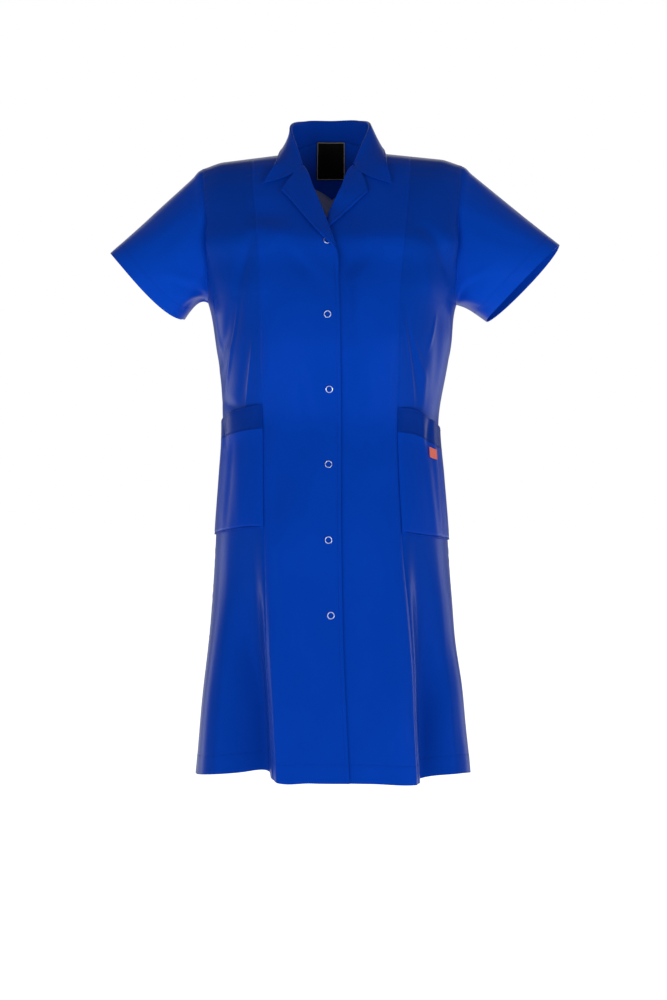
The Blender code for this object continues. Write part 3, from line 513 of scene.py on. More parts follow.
def seam_relief(distance, along, seed):
    """The dip of a seam and the puckers beside it, by the distance from it and along it."""
    line = bump(distance, 0.0, SEAM_WIDTH)
    beside = bump(distance, 0.0, PUCKER_REACH) * (1.0 - line)
    return -SEAM_DIP * line + PUCKER * beside * puckers(along, seed)


def stitch_relief(distance, at, along, seed, turned=0.35, pull=0.45):
    """A row of stitches pulls a groove, and the doubled cloth outside it stands a little prouder."""
    outside = 1.0 - ease(at - 1.5, at + 1.0, distance)
    return -pull * bump(distance, at, STITCH_GROOVE) + turned * outside * (1.0 + 0.5 * puckers(along, seed))


def hem_relief(distance, depth, along, seed):
    """A hem turned up to a depth and stitched, by the distance from its edge."""
    return stitch_relief(distance, depth, along, seed, HEM_RELIEF, HEM_RELIEF)


def height_on_front(x, drop):
    """Creases and unevenness of the front half, for the panels and for all that lies on them."""
    chest = sum(depth * bump(drop, middle, width) for middle, width, depth in LEVEL_SWELLS)
    height = creases(FRONT_CREASES, x, drop) + unevenness(x, drop, SEEDS["front"], 0.9) + chest
    return height * ease(*SHOULDER_CALM, drop)


# ---- the body's panels --------------------------------------------------------------------------
def front_point(side, bearing, drop, girth):
    """One front by its bearing, the left one let in under the right one."""
    grid = torso_point(side, bearing, drop, girth)
    if side == "left":
        grid[..., 1] += under_lap(grid[..., 0], drop)
    return grid


def front_surface(side, x, drop):
    """One front by the distance from the middle and the drop."""
    return front_point(side, bearing_of(x, drop), drop, 0.0)


def front_edge(side, drop):
    """Front edge of one front. Beside the lapel it stops short of the roll line, where the lapel starts."""
    setback = LAPEL_SETBACK * between(LAPEL_SETBACK_DROPS, drop)
    return smooth(FRONT_EDGES, side + "_front", drop) + SIDES[side] * setback


def front_sheet(side):
    """Front panel from its front edge to the princess seam, with edge stitching and hem."""
    girth, drop = close_at_ends(56)[None, :], DROPS[:, None]
    first = bearing_of(front_edge(side, drop), drop)
    last = bearing_of(smooth(FRONT_EDGES, side + "_princess", drop), drop)
    grid = front_point(side, mix(first, last, girth), drop, girth)
    from_edge, from_seam = distance_across(grid), distance_across(grid, from_last=True)
    height = (height_on_front(grid[..., 0], drop) + seam_relief(from_seam, drop, SEEDS["princess"])
              + hem_relief(HEM - drop, HEM_DEPTH, grid[..., 0], SEEDS["hem"]))
    if side == "right":
        curl = EDGE_CURL["by"] * (1.0 - EDGE_CURL["less"] * ease(*EDGE_CURL["drops"], drop))
        height += ease(*EDGE_FROM, drop) * (
            stitch_relief(from_edge, EDGE_STITCH, drop, SEEDS["front_edge"], 0.6)
            + curl * bump(from_edge, 0.0, EDGE_CURL["width"]))
    return raised(grid, height * ease(0.0, 5.0, drop))


def arm_bearing(side, drop):
    """Bearing of the armhole's front edge, which reaches the side seam at the underarm."""
    edge = np.abs(bearing_of(SIDES[side] * smooth(ARMHOLE, "x", drop), drop))
    return np.where(drop >= UNDERARM, np.pi / 2, edge)


def side_surface(side, share, drop):
    """Side front by the share of the way from the princess seam to the armhole or side seam."""
    first = bearing_of(smooth(FRONT_EDGES, side + "_princess", drop), drop)
    last = SIDES[side] * arm_bearing(side, drop)
    return torso_point(side, mix(first, last, share), drop, 1.0 + share)


def side_height(share, x, drop):
    """The front half's creases, dying away towards the armhole and side seam."""
    return height_on_front(x, drop) * (1.0 - ease(0.86, 0.99, share))


def side_sheet(side):
    """Side front, with its seams puckered and its hem turned up."""
    share, drop = close_at_ends(128)[None, :], DROPS[:, None]
    grid = side_surface(side, share, drop)
    from_princess, from_side = distance_across(grid), distance_across(grid, from_last=True)
    height = (side_height(share, grid[..., 0], drop) + seam_relief(from_princess, drop, SEEDS["princess"])
              + seam_relief(from_side, drop, SEEDS["side"])
              + hem_relief(HEM - drop, HEM_DEPTH, grid[..., 0], SEEDS["hem"]))
    return raised(grid, height * ease(0.0, 5.0, drop))


def neckline(side, turn):
    """Back neck seam: a quarter ellipse from the middle of the back to the shoulder-neck point."""
    x, y = SIDES[side] * NECK_HALF * np.sin(turn), NAPE_BACK * np.cos(turn)
    z = mix(NECK_RISE, NAPE_RISE, np.abs(np.cos(turn)) ** 1.6) + SHOULDER_TILT * x
    return np.stack([x, y, z], axis=-1)


def back_surface(side, girth, level):
    """Half of the back by girth and level, a level being a drop measured from the upper edge.

    The upper edge is the shoulder seam and then the neckline. The neckline's drop is the one at
    which the back is as deep as the neckline is there. What the neckline stands higher than that
    fades out down the back.
    """
    girth, level = np.broadcast_arrays(girth, level)
    beyond_neck = np.clip((NAPE_GIRTH - girth) / (NAPE_GIRTH - 2.0), 0.0, 1.0)
    turn = np.clip((3.0 - girth) / (3.0 - NAPE_GIRTH), 0.0, 1.0) * np.pi / 2
    seam = neckline(side, turn)
    top_x = seam[..., 0] + SIDES[side] * (SHOULDER_END - NECK_HALF) * beyond_neck
    top_share = np.abs(top_x) / smooth(SECTIONS, side, 0.0)
    depths, start = smooth(SECTIONS, "back", NAPE_DROPS), 0.0
    for _ in range(4):
        start = np.interp(seam[..., 1] / depth_share(top_share, start), depths, NAPE_DROPS)
    start = np.where(girth > NAPE_GIRTH, start, 0.0)
    drop = np.where(level < UNDERARM, start + level * (1.0 - start / UNDERARM), level)
    edge = np.pi - arm_bearing(side, level)
    even = mix(edge, np.pi, girth - 2.0)
    top_share = np.abs(top_x) / half_width(top_x, start)
    top = np.pi - np.arctan2(top_share, depth_share(top_share, start))
    bearing = mix(top, even, ease(0.0, UNDERARM, level))
    bearing = np.where(girth <= 2.0, edge, bearing)
    plain = -start + shoulder_height(top_x) * (1.0 - ease(0.0, SHOULDER_FADE, start))
    rise = np.where(girth > NAPE_GIRTH, seam[..., 2] - plain, 0.0)
    spread = NAPE_SPREAD * (1.0 - beyond_neck) ** 2 * ease(*NAPE_SPREAD_LEVELS, level)
    rise = (rise + spread) * (1.0 - ease(0.0, NAPE_FADE, level))
    return torso_point(side, SIDES[side] * bearing, drop, girth, rise)


def settled(grid, weight, passes):
    """The grid after its points have moved towards their neighbours' mean, by a weight at each."""
    for _ in range(passes):
        mean = (grid[:-2, 1:-1] + grid[2:, 1:-1] + grid[1:-1, :-2] + grid[1:-1, 2:]) / 4
        grid = grid.copy()
        grid[1:-1, 1:-1] = mix(grid[1:-1, 1:-1], mean, weight[1:-1, 1:-1, None])
    return grid


def back_sheet():
    """Whole back in one piece, from the right side seam round to the left one, plain and creased.

    Between its edges and the waist it is settled, so that the neckline's shape dies away evenly.
    """
    girth, drop = BACK_GIRTHS[None, :], DROPS[:, None]
    right, left = (back_surface(side, girth, drop) for side in SIDES)
    grid = np.concatenate([right, left[:, -2::-1]], axis=1)
    weight = ease(6.0, 40.0, distance_inside(grid)) * ease(0.0, 30.0, drop) * (1.0 - ease(420.0, 520.0, drop))
    grid = settled(grid, weight * 0.9, 120)
    x, from_side = grid[..., 0], distance_inside(grid)
    height = creases(BACK_CREASES, x, drop) + unevenness(x, drop, SEEDS["back"], 0.8)
    height *= ease(*SHOULDER_CALM, drop) * ease(2.0, 30.0, from_side)
    neck_seam_dip = -0.8 * bump(drop, 4.0, 2.0) + 0.6 * bump(drop, 12.0, 5.0)
    height += (seam_relief(from_side, drop, SEEDS["side"]) + neck_seam_dip
               + hem_relief(HEM - drop, HEM_DEPTH, x, SEEDS["hem"]))
    return grid, raised(grid, height * ease(0.0, 3.0, drop))


def sleeve_sheet(side, side_panel, back_panel):
    """Sleeve: each point of the armhole runs to its point of the hem, rounding out on the way.

    The hem is a tilted ellipse between its two corners, flattened by a power of its sine and bowed
    out, more so towards the underarm. On its way the sleeve rounds out by the sine of that way, and
    under the arm it is drawn up. Columns run from the shoulder down the front to the underarm and up
    the back, spaced as along the armhole.
    """
    rows = slice(0, UNDERARM_ROW + 1)
    front = side_panel[rows, -1]
    back = back_panel[rows, 0 if side == "right" else -1]
    down_front, down_back = (run / run[-1] for run in (distance_along(front), distance_along(back)))
    half_turns = np.concatenate([down_front, 2.0 - down_back[-2:0:-1]])
    turn = np.pi * half_turns
    armhole = np.concatenate([front, back[-2:0:-1]])
    (outer_x, outer_z), (inner_x, inner_z) = SLEEVES[side]["outer"], SLEEVES[side]["inner"]
    middle = np.array([outer_x + inner_x, 0.0, outer_z + inner_z]) / 2
    across = np.array([outer_x - inner_x, 0.0, outer_z - inner_z]) / 2
    out = unit(np.array([SIDES[side] * abs(across[2]), 0.0, -abs(across[0])]))
    forward = np.sin(turn)[:, None]
    flat = np.sign(forward) * np.abs(forward) ** SLEEVE_FLATNESS
    lean = 1.0 + SLEEVE_HEM_LEAN[side] * (SLEEVE_HEM_LEVEL - np.cos(turn)[:, None])
    bow = np.where(forward > 0, *SLEEVE_HEM_BOW[side]) * np.abs(forward) * lean
    hem = (middle + across * np.cos(turn)[:, None] + out * bow
           + np.array([0.0, -SLEEVE_HEM_DEPTH, 0.0]) * flat)
    share = close_at_ends(60)[:, None, None]
    full = SLEEVE_FULLNESS * np.sin(np.pi * share) * flat * np.array([0.0, -1.0, 0.0])
    under = bump(half_turns, 1.0, SLEEVE_HOLLOW_WIDTH)[:, None]
    hollow = SLEEVE_HOLLOW[side] * np.sin(np.pi * share ** 0.8) * under
    grid = mix(armhole, hem, share) + full + hollow * np.array([0.0, 0.0, 1.0])
    share, half_turns = share[..., 0], half_turns[None, :]
    from_seam, from_hem = distance_down(grid), distance_down(grid, from_last=True)
    along = half_turns * SLEEVE_HALF_GIRTH
    crown = ease(-0.5, 0.6, np.cos(np.pi * half_turns)) * bump(from_seam, SLEEVE_CROWN["at"],
                                                               SLEEVE_CROWN["width"])
    height = (creases(SLEEVE_CREASES[side], half_turns, share) * ease(0.0, 6.0, from_seam)
              + unevenness(along, from_seam, SEEDS[side], 0.5) * ease(0.0, 20.0, from_seam)
              + SLEEVE_CROWN["by"] * crown + seam_relief(from_seam, along, SEEDS["armhole"])
              + hem_relief(from_hem, SLEEVE_HEM, along, SEEDS["sleeve_hem"]))
    return raised(grid, height * ease(0.0, 3.0, from_seam), closed=True)


# ---- pieces that turn over or lie on a panel ----------------------------------------------------
def turned_section(base, roll, half, edge):
    """Rows from a base edge up to a roll, round it, and down over half to the outer edge.

    Each argument is one line of points along the fold. The roll is the outermost line of a half
    circle of the fold's radius, square to the roll. The fall is the parabola through the half
    circle's end, the half line and the edge.
    """
    along = unit(np.gradient(roll, axis=0))
    up = roll - base
    up = unit(up - np.sum(up * along, axis=-1, keepdims=True) * along)
    over = np.cross(along, up)
    over = over * np.sign(np.sum(over * (half - roll)))
    centre = roll - up * FOLD_RADIUS
    angle = np.linspace(0.0, np.pi, FOLD_ROWS["arc"])[:, None, None]
    arc = centre + FOLD_RADIUS * (np.sin(angle) * up - np.cos(angle) * over)
    stand = mix(base, arc[0], np.linspace(0.0, 1.0, FOLD_ROWS["stand"])[:-1, None, None])
    t = 1.0 - (1.0 - np.linspace(0.0, 1.0, FOLD_ROWS["fall"])[1:, None, None]) ** 1.5
    fall = arc[-1] * (1 - t) * (1 - 2 * t) + half * 4 * t * (1 - t) + edge * t * (2 * t - 1)
    return np.concatenate([stand, arc, fall])


def turned_normals(grid):
    """Unit normals of a turned piece, pointing away from the neck on its fall."""
    normal = unit(np.cross(np.gradient(grid, axis=1), np.gradient(grid, axis=0)))
    return normal * np.sign(np.sum(normal[-1] * grid[-1] * [1.0, 1.0, 0.0]))


def pressed_edges(grid, seed, ends):
    """A turned piece with its outer edge and ends topstitched and its fall a little uneven."""
    from_edge = distance_down(grid, from_last=True)
    along = distance_across(grid)
    near = np.minimum(from_edge, distance_inside(grid)) if ends else from_edge
    fallen = ease(*FALL_ROWS, np.arange(len(grid)))[:, None]
    height = (stitch_relief(near, EDGE_STITCH, along + from_edge, seed, 0.3)
              - EDGE_ROUND * bump(near, 0.0, STITCH_GROOVE)
              + unevenness(along, from_edge, seed, 0.35, (60.0, 150.0)))
    return grid + turned_normals(grid) * (height * fallen)[..., None]


def laid_point(side, x, drop, lift):
    """Points over one front, off it by a distance along its normals."""
    x, drop = np.broadcast_arrays(np.asarray(x, float), np.asarray(drop, float))
    normal = normals_of(front_surface, side, x, drop, (1.0, 1.0))
    height = np.asarray(lift) + height_on_front(x, drop)
    return front_surface(side, x, drop) + normal * height[..., None]


def neck_seam(side, along):
    """The collar's seam by the way along it, with the direction in the cloth beyond it and its normal."""
    girth = mix(3.0, NAPE_GIRTH, np.clip(along / COLLAR_NAPE, 0.0, 1.0))
    nape = back_surface(side, girth, 0.0)
    nape_inner = back_surface(side, girth, 5.0)
    nape_normal = unit(np.cross(back_surface(side, girth - 0.01, 2.0) - back_surface(side, girth + 0.01, 2.0),
                                nape_inner - nape))
    nape_normal *= np.sign(np.sum(nape_normal * [0.0, 1.0, 0.5], axis=-1, keepdims=True))
    drop = np.interp(along, COLLAR_DROPS["along"], COLLAR_DROPS["drop"])
    edge_x = front_edge(side, drop)
    front = front_surface(side, edge_x, drop)
    front_inner = front_surface(side, edge_x + SIDES[side] * 10.0, drop)
    front_normal = normals_of(front_surface, side, edge_x, np.maximum(drop, 2.0), (1.0, 1.0))
    at_front = ease(COLLAR_NAPE - 0.04, COLLAR_NAPE + 0.10, along)[:, None]
    seam = np.where(along[:, None] > COLLAR_NAPE, front, nape)
    beyond = unit(mix(unit(nape - nape_inner), unit(front - front_inner), at_front))
    return seam, beyond, unit(mix(nape_normal, front_normal, at_front))


def collar_stations(side, part):
    """Stations of one of the collar's lines on one side, from the nape to the gorge, as x, y and z."""
    x, drop = COLLAR_FRONT[side].get(part, (FRONT_EDGES[side + "_front"][1], GORGE))
    last = laid_point(side, x, drop, FOLD_RADIUS - CLOTH + COLLAR_LIFT[part])
    shift = COLLAR_SHIFT * ease(0.3, 0.8, COLLAR["along"])
    if side == "right" and part != "roll":
        shift = COLLAR_INSET * bump(np.array(COLLAR["along"]), 0.55, 0.2)
    across = SIDES[side] * np.array(COLLAR[part + "_x"]) + shift
    up = np.array(COLLAR[part + "_z"]) + SHOULDER_TILT * across
    return np.concatenate([np.stack([across, COLLAR[part + "_y"], up], axis=-1), last[None, :]])


def collar_sheet():
    """Collar in one piece from gorge to gorge, its stand and its fall.

    Each of its lines is one curve through the stations of both sides, so that it is smooth at the nape.
    """
    along = np.linspace(0.0, 1.0, 96)
    knots = np.append(COLLAR["along"], 1.0)
    halves = []
    for side, sign in SIDES.items():
        lines = []
        for part in COLLAR_LIFT:
            both = np.concatenate([collar_stations("right", part)[:0:-1], collar_stations("left", part)])
            stations = dict(zip("xyz", both.T), along=np.concatenate([-knots[:0:-1], knots]))
            lines.append(np.stack([smooth(stations, axis, sign * along, "along") for axis in "xyz"], axis=-1))
        seam, beyond, normal = neck_seam(side, along)
        up = unit(lines[0] - seam)
        flat = np.sum(up * beyond, axis=-1, keepdims=True)
        upright = np.maximum(np.sum(up * normal, axis=-1, keepdims=True), 0.0)
        base = seam + CLOTH * (upright * beyond - flat * normal) + (SEAM_TOUCH - SEAM_TUCK * upright) * up
        halves.append(turned_section(base, *lines))
    right, left = halves
    return pressed_edges(np.concatenate([right[:, ::-1], left[:, 1:]], axis=1), SEEDS["collar"], ends=True)


def lapel_sheet(side):
    """Lapel: the front's edge turned back over it, from the gorge to the break."""
    (tip_x, tip_drop), (break_x, break_drop) = LAPELS[side]["tip"], LAPELS[side]["break"]
    drop = np.linspace(GORGE + LAPEL_START, LAPELS[side]["end"], 90)
    along = (drop - drop[0]) / (break_drop - drop[0])
    roll_x = smooth(FRONT_EDGES, side + "_front", drop)
    edge_x, edge_drop = mix(tip_x, break_x, along), mix(tip_drop, break_drop, along)
    bow = LAPEL_BOW[side] * np.sin(np.pi * along) * along
    edge_x, edge_drop = edge_x + SIDES[side] * bow, edge_drop + bow
    half_x, half_drop = mix(roll_x, edge_x, 0.5), mix(drop, edge_drop, 0.5)
    notch_x, notch_drop = COLLAR_FRONT[side]["half"]
    near_gorge = np.clip(1.0 - along / 0.25, 0.0, 1.0) ** 2
    half_x = half_x + (notch_x - SIDES[side] * 0.6 - half_x[0]) * near_gorge
    half_drop = half_drop + (notch_drop + 1.2 - half_drop[0]) * near_gorge
    upper = 2 * FOLD_RADIUS - CLOTH
    base = laid_point(side, front_edge(side, drop), drop, -CLOTH)
    roll = laid_point(side, roll_x, drop, FOLD_RADIUS - CLOTH)
    half = laid_point(side, half_x, half_drop, upper + LAPEL_LIFT / 2)
    edge = laid_point(side, edge_x, edge_drop, upper + LAPEL_LIFT)
    return pressed_edges(turned_section(base + unit(roll - base) * SEAM_TOUCH, roll, half, edge),
                         SEEDS[side], ends=False)


def pocket_lines(side, share, *lines):
    """Drops of some of a pocket's lines at shares of the way to the side seam."""
    return (smooth(POCKETS, side + "_" + line, share, "share") for line in lines)


def pocket_place(side, share, drop, lift):
    """Points over a side front, off it by a distance along its normals, where a pocket lies."""
    share, drop = np.broadcast_arrays(share, drop)
    normal = normals_of(side_surface, side, share, drop, (0.01, 1.0))
    point = side_surface(side, share, drop)
    mouth, band = pocket_lines(side, share, "mouth", "band")
    gape = POCKET_GAPE * np.sin(np.pi * share) * ease(band + POCKET_GAPE_REACH, mouth - 6.0, drop)
    gape = gape * (1.0 - POCKET_GAPE_LOSS["by"] * ease(*POCKET_GAPE_LOSS["shares"], share))
    folds = creases(POCKET_CREASES[side], share, drop) * np.sin(np.pi * share) ** 0.5
    height = side_height(share, point[..., 0], drop) * POCKET_CREASE_SHARE + gape + folds
    return point + normal * (height + CLOTH + LAYER_GAP + POCKET_CLEARANCE + lift)[..., None]


def pocket_sheet(side, part):
    """One part of a pocket: a patch, its sides in the seams, or the band across its mouth."""
    share = close_at_ends(52)[None, :]
    rows, *lines = {"band": (22, "mouth", "band"), "patch": (60, "band", "bottom")}[part]
    drop = mix(*pocket_lines(side, share, *lines), close_at_ends(rows)[:, None])
    grid = pocket_place(side, share, drop, 0.0)
    from_top, from_bottom = distance_down(grid), distance_down(grid, from_last=True)
    along, from_sides = distance_across(grid), distance_inside(grid)
    loss = POCKET_RELIEF_LOSS
    kept = ((1.0 - loss["sides"] * bump(from_sides, 0.0, loss["width"]))
            * (1.0 - loss["by"] * ease(*loss["shares"], share)))
    if part == "band":
        stitched = (stitch_relief(from_bottom, POCKET_STITCH, along, SEEDS["band_lower"], 0.25)
                    + stitch_relief(from_top, POCKET_STITCH, along, SEEDS["band_upper"], 0.2)
                    - 0.5 * bump(from_top, 0.0, 1.0))
    else:
        stitched = (stitch_relief(from_bottom, POCKET_STITCH, along, SEEDS["pocket"], 0.2)
                    - 1.3 * bump(from_bottom, 2.6, 1.0) + 0.5 * bump(from_bottom, 0.8, 1.2))
    return raised(grid, kept * stitched - CLOTH * bump(from_sides, 0.0, 4.0))


def on_back(back, girth, level):
    """Points of the whole back's grid at girths of its two halves and at levels, between grid points."""
    row = np.interp(level, DROPS, np.arange(len(DROPS)))
    halves = []
    for side in SIDES:
        column = np.interp(girth, BACK_GIRTHS, np.arange(len(BACK_GIRTHS)))
        column = column if side == "right" else back.shape[1] - 1 - column
        i, j = np.floor(row).astype(int), np.minimum(np.floor(column).astype(int), back.shape[1] - 2)
        down, across = (row - i)[..., None], (column - j)[..., None]
        halves.append(mix(mix(back[i, j], back[i, j + 1], across),
                          mix(back[i + 1, j], back[i + 1, j + 1], across), down))
    return np.concatenate([halves[0], halves[1][:, -2::-1]], axis=1)


def facing_sheet(back):
    """Back neck facing inside the back, its lower edge running to a point in the middle."""
    girth = np.linspace(mix(2.0, NAPE_GIRTH, FACING_FROM), 3.0, 46)[None, :]
    share = (girth - girth[0, 0]) / (3.0 - girth[0, 0])
    level = np.linspace(0.0, 1.0, 40)[:, None] * mix(*FACING_DEPTH, share ** 2)
    girth, level = np.broadcast_arrays(girth, level)
    grid = on_back(back, girth, level)
    grid = grid - grid_normals(grid) * (CLOTH + LAYER_GAP)
    grid[0, :, 2] += FACING_RISE
    return grid


def label_sheet(back):
    """Neck label hanging on the facing: a rectangle bent to the back's curve, its sides curling."""
    x = np.linspace(LABEL["left"], LABEL["right"], 40)
    levels = np.linspace(LABEL["top"], LABEL["bottom"], 50)[:, None]
    line = on_back(back, *np.broadcast_arrays(np.linspace(2.8, 3.0, 40), levels))
    y, z = (np.stack([np.interp(x, row[:, 0], row[:, axis]) for row in line]) for axis in (1, 2))
    lift = LABEL["lift"] * (1.0 - ease(LABEL["top"], LABEL["bottom"], levels))
    grid = np.stack(np.broadcast_arrays(x, y, z.mean(axis=1, keepdims=True) + lift), axis=-1)
    side_curl = LABEL["side_curl"] * ((x - x.mean()) / LABEL["curl_width"]) ** 2
    curl = side_curl + LABEL["foot_curl"] * ease(*LABEL["foot"], levels)
    return raised(grid, -(2 * CLOTH + 2.3 * LAYER_GAP + curl))


def tab_sheet():
    """Tab on the left pocket: a folded tape, its lower corner standing off a little."""
    share, down = np.linspace(*TAB["share"], 26)[None, :], np.linspace(*TAB["down"], 22)[:, None]
    drop = mix(*pocket_lines("left", share, "band", "bottom"), down)
    off = TAB["curl"] * ease(*TAB["down"], down) * ease(*TAB["curl_share"], share)
    return pocket_place("left", share, drop, CLOTH + LAYER_GAP * 0.7 + off)


def stud_ring(number):
    """One press-stud ring: a rounded rim and a low inner step turned about the stud's axis."""
    x, drop = STUDS["x"][number], STUDS["drop"][number]
    spot, beside, below = (laid_point("right", x + across, drop + down, STUD_LIFT)
                           for across, down in ((0.0, 0.0), (4.0, 0.0), (0.0, 4.0)))
    right = unit(beside - spot)
    out = unit(np.cross(below - spot, right))
    down = np.cross(right, out)
    around = np.linspace(0.0, 2 * np.pi, 48, endpoint=False)[:, None, None]
    radius, high = np.moveaxis(np.array(STUD_SECTION), -1, 0)[..., None]
    return spot + radius * (np.cos(around) * right + np.sin(around) * down) + (high + STUD_GAP) * out


# ---- meshes -------------------------------------------------------------------------------------
def cut_lengths(grid, closed):
    """UV of a grid in metres of cloth: across is the way along each row, down the mean way."""
    ring = np.concatenate([grid, grid[:, :1]], axis=1) if closed else grid
    across = distance_across(ring)
    down = np.broadcast_to(distance_down(ring).mean(axis=1, keepdims=True), across.shape)
    return np.stack([across, down], axis=-1) * 0.001


def grid_quads(index):
    """Faces between neighbours in a grid of vertex numbers."""
    return np.stack([index[:-1, :-1], index[:-1, 1:], index[1:, 1:], index[1:, :-1]], -1).reshape(-1, 4)


def wall_mesh(outer, inner, closed=False):
    """Vertices, faces and UV corners of a wall between two grids, closed along its rims."""
    rows, columns = outer.shape[:2]
    wide = columns + 1 if closed else columns
    index = np.arange(rows * wide).reshape(rows, wide)
    far = rows * wide
    quads = grid_quads(index)
    rims = [index[0, ::-1], index[-1]]
    if not closed:
        rims += [index[:, 0], index[::-1, -1]]
    sides = [np.stack([rim[:-1], rim[1:], rim[1:] + far, rim[:-1] + far], axis=-1) for rim in rims]
    faces = np.concatenate([quads, quads[:, ::-1] + far] + sides)
    vertex = np.arange(rows)[:, None] * columns + np.arange(wide)[None, :] % columns
    vertex = np.concatenate([vertex.ravel(), vertex.ravel() + rows * columns])
    uv = np.tile(cut_lengths(outer, closed).reshape(-1, 2), (2, 1))
    points = np.concatenate([outer.reshape(-1, 3), inner.reshape(-1, 3)])
    return points, vertex[faces], uv[faces], len(quads)


def signed_volume(points, faces):
    """Six times the volume inside four-cornered faces, positive where they point out."""
    a, b, c, d = (points[faces[:, i]] for i in range(4))
    return np.sum(np.cross(a, b) * c) + np.sum(np.cross(a, c) * d)


def add_mesh(name, points, faces, materials):
    """A smooth-shaded object from millimetre points and lists of vertex numbers."""
    mesh = bpy.data.meshes.new(name)
    mesh.from_pydata((points * 0.001).tolist(), [], faces)
    for material in materials:
        mesh.materials.append(material)
    mesh.shade_smooth()
    made = bpy.data.objects.new(name, mesh)
    bpy.context.collection.objects.link(made)
    return made


def make_object(name, points, faces, uv, materials, inner=None):
    """One closed mesh, its faces pointing out, its UV in metres, and its inner faces' slot the second."""
    if signed_volume(points, faces) < 0:
        faces = faces[:, ::-1]
        uv = None if uv is None else uv[:, ::-1]
    made = add_mesh(name, points, faces.tolist(), materials)
    if inner is not None:
        slots = np.zeros(len(faces), dtype=np.int32)
        slots[inner] = 1
        made.data.polygons.foreach_set("material_index", slots)
    if uv is not None:
        made.data.uv_layers.new(name="cloth").data.foreach_set("uv", uv.reshape(-1))
    made.data.set_sharp_from_angle(angle=np.radians(55.0))
    return made


def make_cloth(name, grid, normals, materials, closed=False, thickness=CLOTH):
    """A wall whose outer side is the grid.

    Its second material, if any, is its inner side's down to the turned-up hem.
    """
    points, faces, uv, count = wall_mesh(grid, grid - normals * thickness, closed)
    hem = np.sum(DROPS > HEM - HEM_DEPTH) * (grid.shape[1] - 1)
    inner = slice(count, 2 * count - hem) if len(materials) > 1 else None
    return make_object(name, points, faces, uv, materials, inner)


def line_inside(grid, normals, edge, distance, first=0.0, last=1.0):
    """A line of points with their normals, a distance inside one edge of a grid.

    Each row, or each column for the upper and lower edges, is met where its way from the edge
    equals the distance. First and last are the shares of the edge where the line starts and ends.
    """
    if edge in ("upper", "lower"):
        grid, normals = np.swapaxes(grid, 0, 1), np.swapaxes(normals, 0, 1)
    if edge in ("lower", "last"):
        grid, normals = grid[:, ::-1], normals[:, ::-1]
    run, row = distance_across(grid), np.arange(len(grid))
    i = np.clip(np.sum(run < distance, axis=1) - 1, 0, grid.shape[1] - 2)
    t = ((distance - run[row, i]) / (run[row, i + 1] - run[row, i]))[:, None]
    kept = slice(int(first * len(grid)), int(last * len(grid)))
    return (mix(grid[row, i], grid[row, i + 1], t)[kept],
            unit(mix(normals[row, i], normals[row, i + 1], t))[kept])


def make_stitches(name, lines, material):
    """Topstitching: a row of short spindles along each line of points, lying on their normals.

    Each spindle has two pointed ends and two rings of four points at a quarter and three quarters
    of its length.
    """
    vertices = []
    half, radius = STITCH["length"] / 2, STITCH["radius"]
    for points, normals in lines:
        run = distance_along(points)
        at = np.arange(STITCH["pitch"], run[-1] - STITCH["pitch"], STITCH["pitch"])
        middle, ahead, normal = (np.stack([np.interp(where, run, values[:, i]) for i in range(3)], axis=-1)
                                 for where, values in ((at, points), (at + 1.0, points), (at, normals)))
        normal, along = unit(normal), unit(ahead - middle)
        across = np.cross(along, normal)
        tips = [middle + along * half * end - normal * STITCH["sunk"] for end in (-1.0, 1.0)]
        rings = [middle + along * half * place
                 + radius * (across * side_way + normal * (up_way * 0.8 + 0.5))
                 for place in (-0.5, 0.5)
                 for side_way, up_way in ((1, 0), (0, 1), (-1, 0), (0, -1))]
        vertices.append(np.stack([tips[0], *rings, tips[1]], axis=1))
    vertices = np.concatenate(vertices)
    first, turn = 10 * np.arange(len(vertices))[:, None, None], np.arange(4)
    after = (turn + 1) % 4
    heads = np.stack([0 * turn, 1 + turn, 1 + after], axis=-1)
    tube = np.stack([1 + turn, 5 + turn, 5 + after, 1 + after], axis=-1)
    tails = np.stack([0 * turn + 9, 5 + after, 5 + turn], axis=-1)
    faces = (first + np.concatenate([heads, tails])).reshape(-1, 3).tolist()
    faces += (first + tube).reshape(-1, 4).tolist()
    return add_mesh(name, vertices.reshape(-1, 3), faces, (material,))


# ---- materials ----------------------------------------------------------------------------------
def linear(code):
    """Linear colour of an sRGB hex value."""
    value = np.array([int(code[i:i + 2], 16) for i in (1, 3, 5)]) / 255.0
    value = np.where(value <= 0.04045, value / 12.92, ((value + 0.055) / 1.055) ** 2.4)
    return (*value.tolist(), 1.0)


def add_node(tree, kind, inputs=None, **settings):
    """Adds a node with its settings. Each input is a value, or the output socket that feeds it."""
    node = tree.nodes.new(kind)
    for name, value in settings.items():
        setattr(node, name, value)
    for name, value in (inputs or {}).items():
        if isinstance(value, bpy.types.NodeSocket):
            tree.links.new(value, node.inputs[name])
        else:
            node.inputs[name].default_value = value
    return node


def new_material(name, settings):
    """A material with its node tree and its shader, whose own sockets get the settings."""
    material = bpy.data.materials.new(name)
    material.use_nodes = True
    tree = material.node_tree
    shader = tree.nodes["Principled BSDF"]
    for socket, value in settings.items():
        shader.inputs[socket].default_value = value
    return material, tree, shader


def dye(tree, shader, share, deep, plain):
    """Colours the surface with two dyes, mixed by the share of a pattern."""
    colour = add_node(tree, "ShaderNodeMix", {0: share, 6: linear(deep), 7: linear(plain)}, data_type="RGBA")
    tree.links.new(colour.outputs[2], shader.inputs["Base Color"])


def emboss(tree, shader, height, strength):
    """Raises the threads of a weave by up to 0.2 mm where the pattern is high."""
    relief = add_node(tree, "ShaderNodeBump", {"Height": height, "Strength": strength, "Distance": 0.0002})
    tree.links.new(relief.outputs["Normal"], shader.inputs["Normal"])


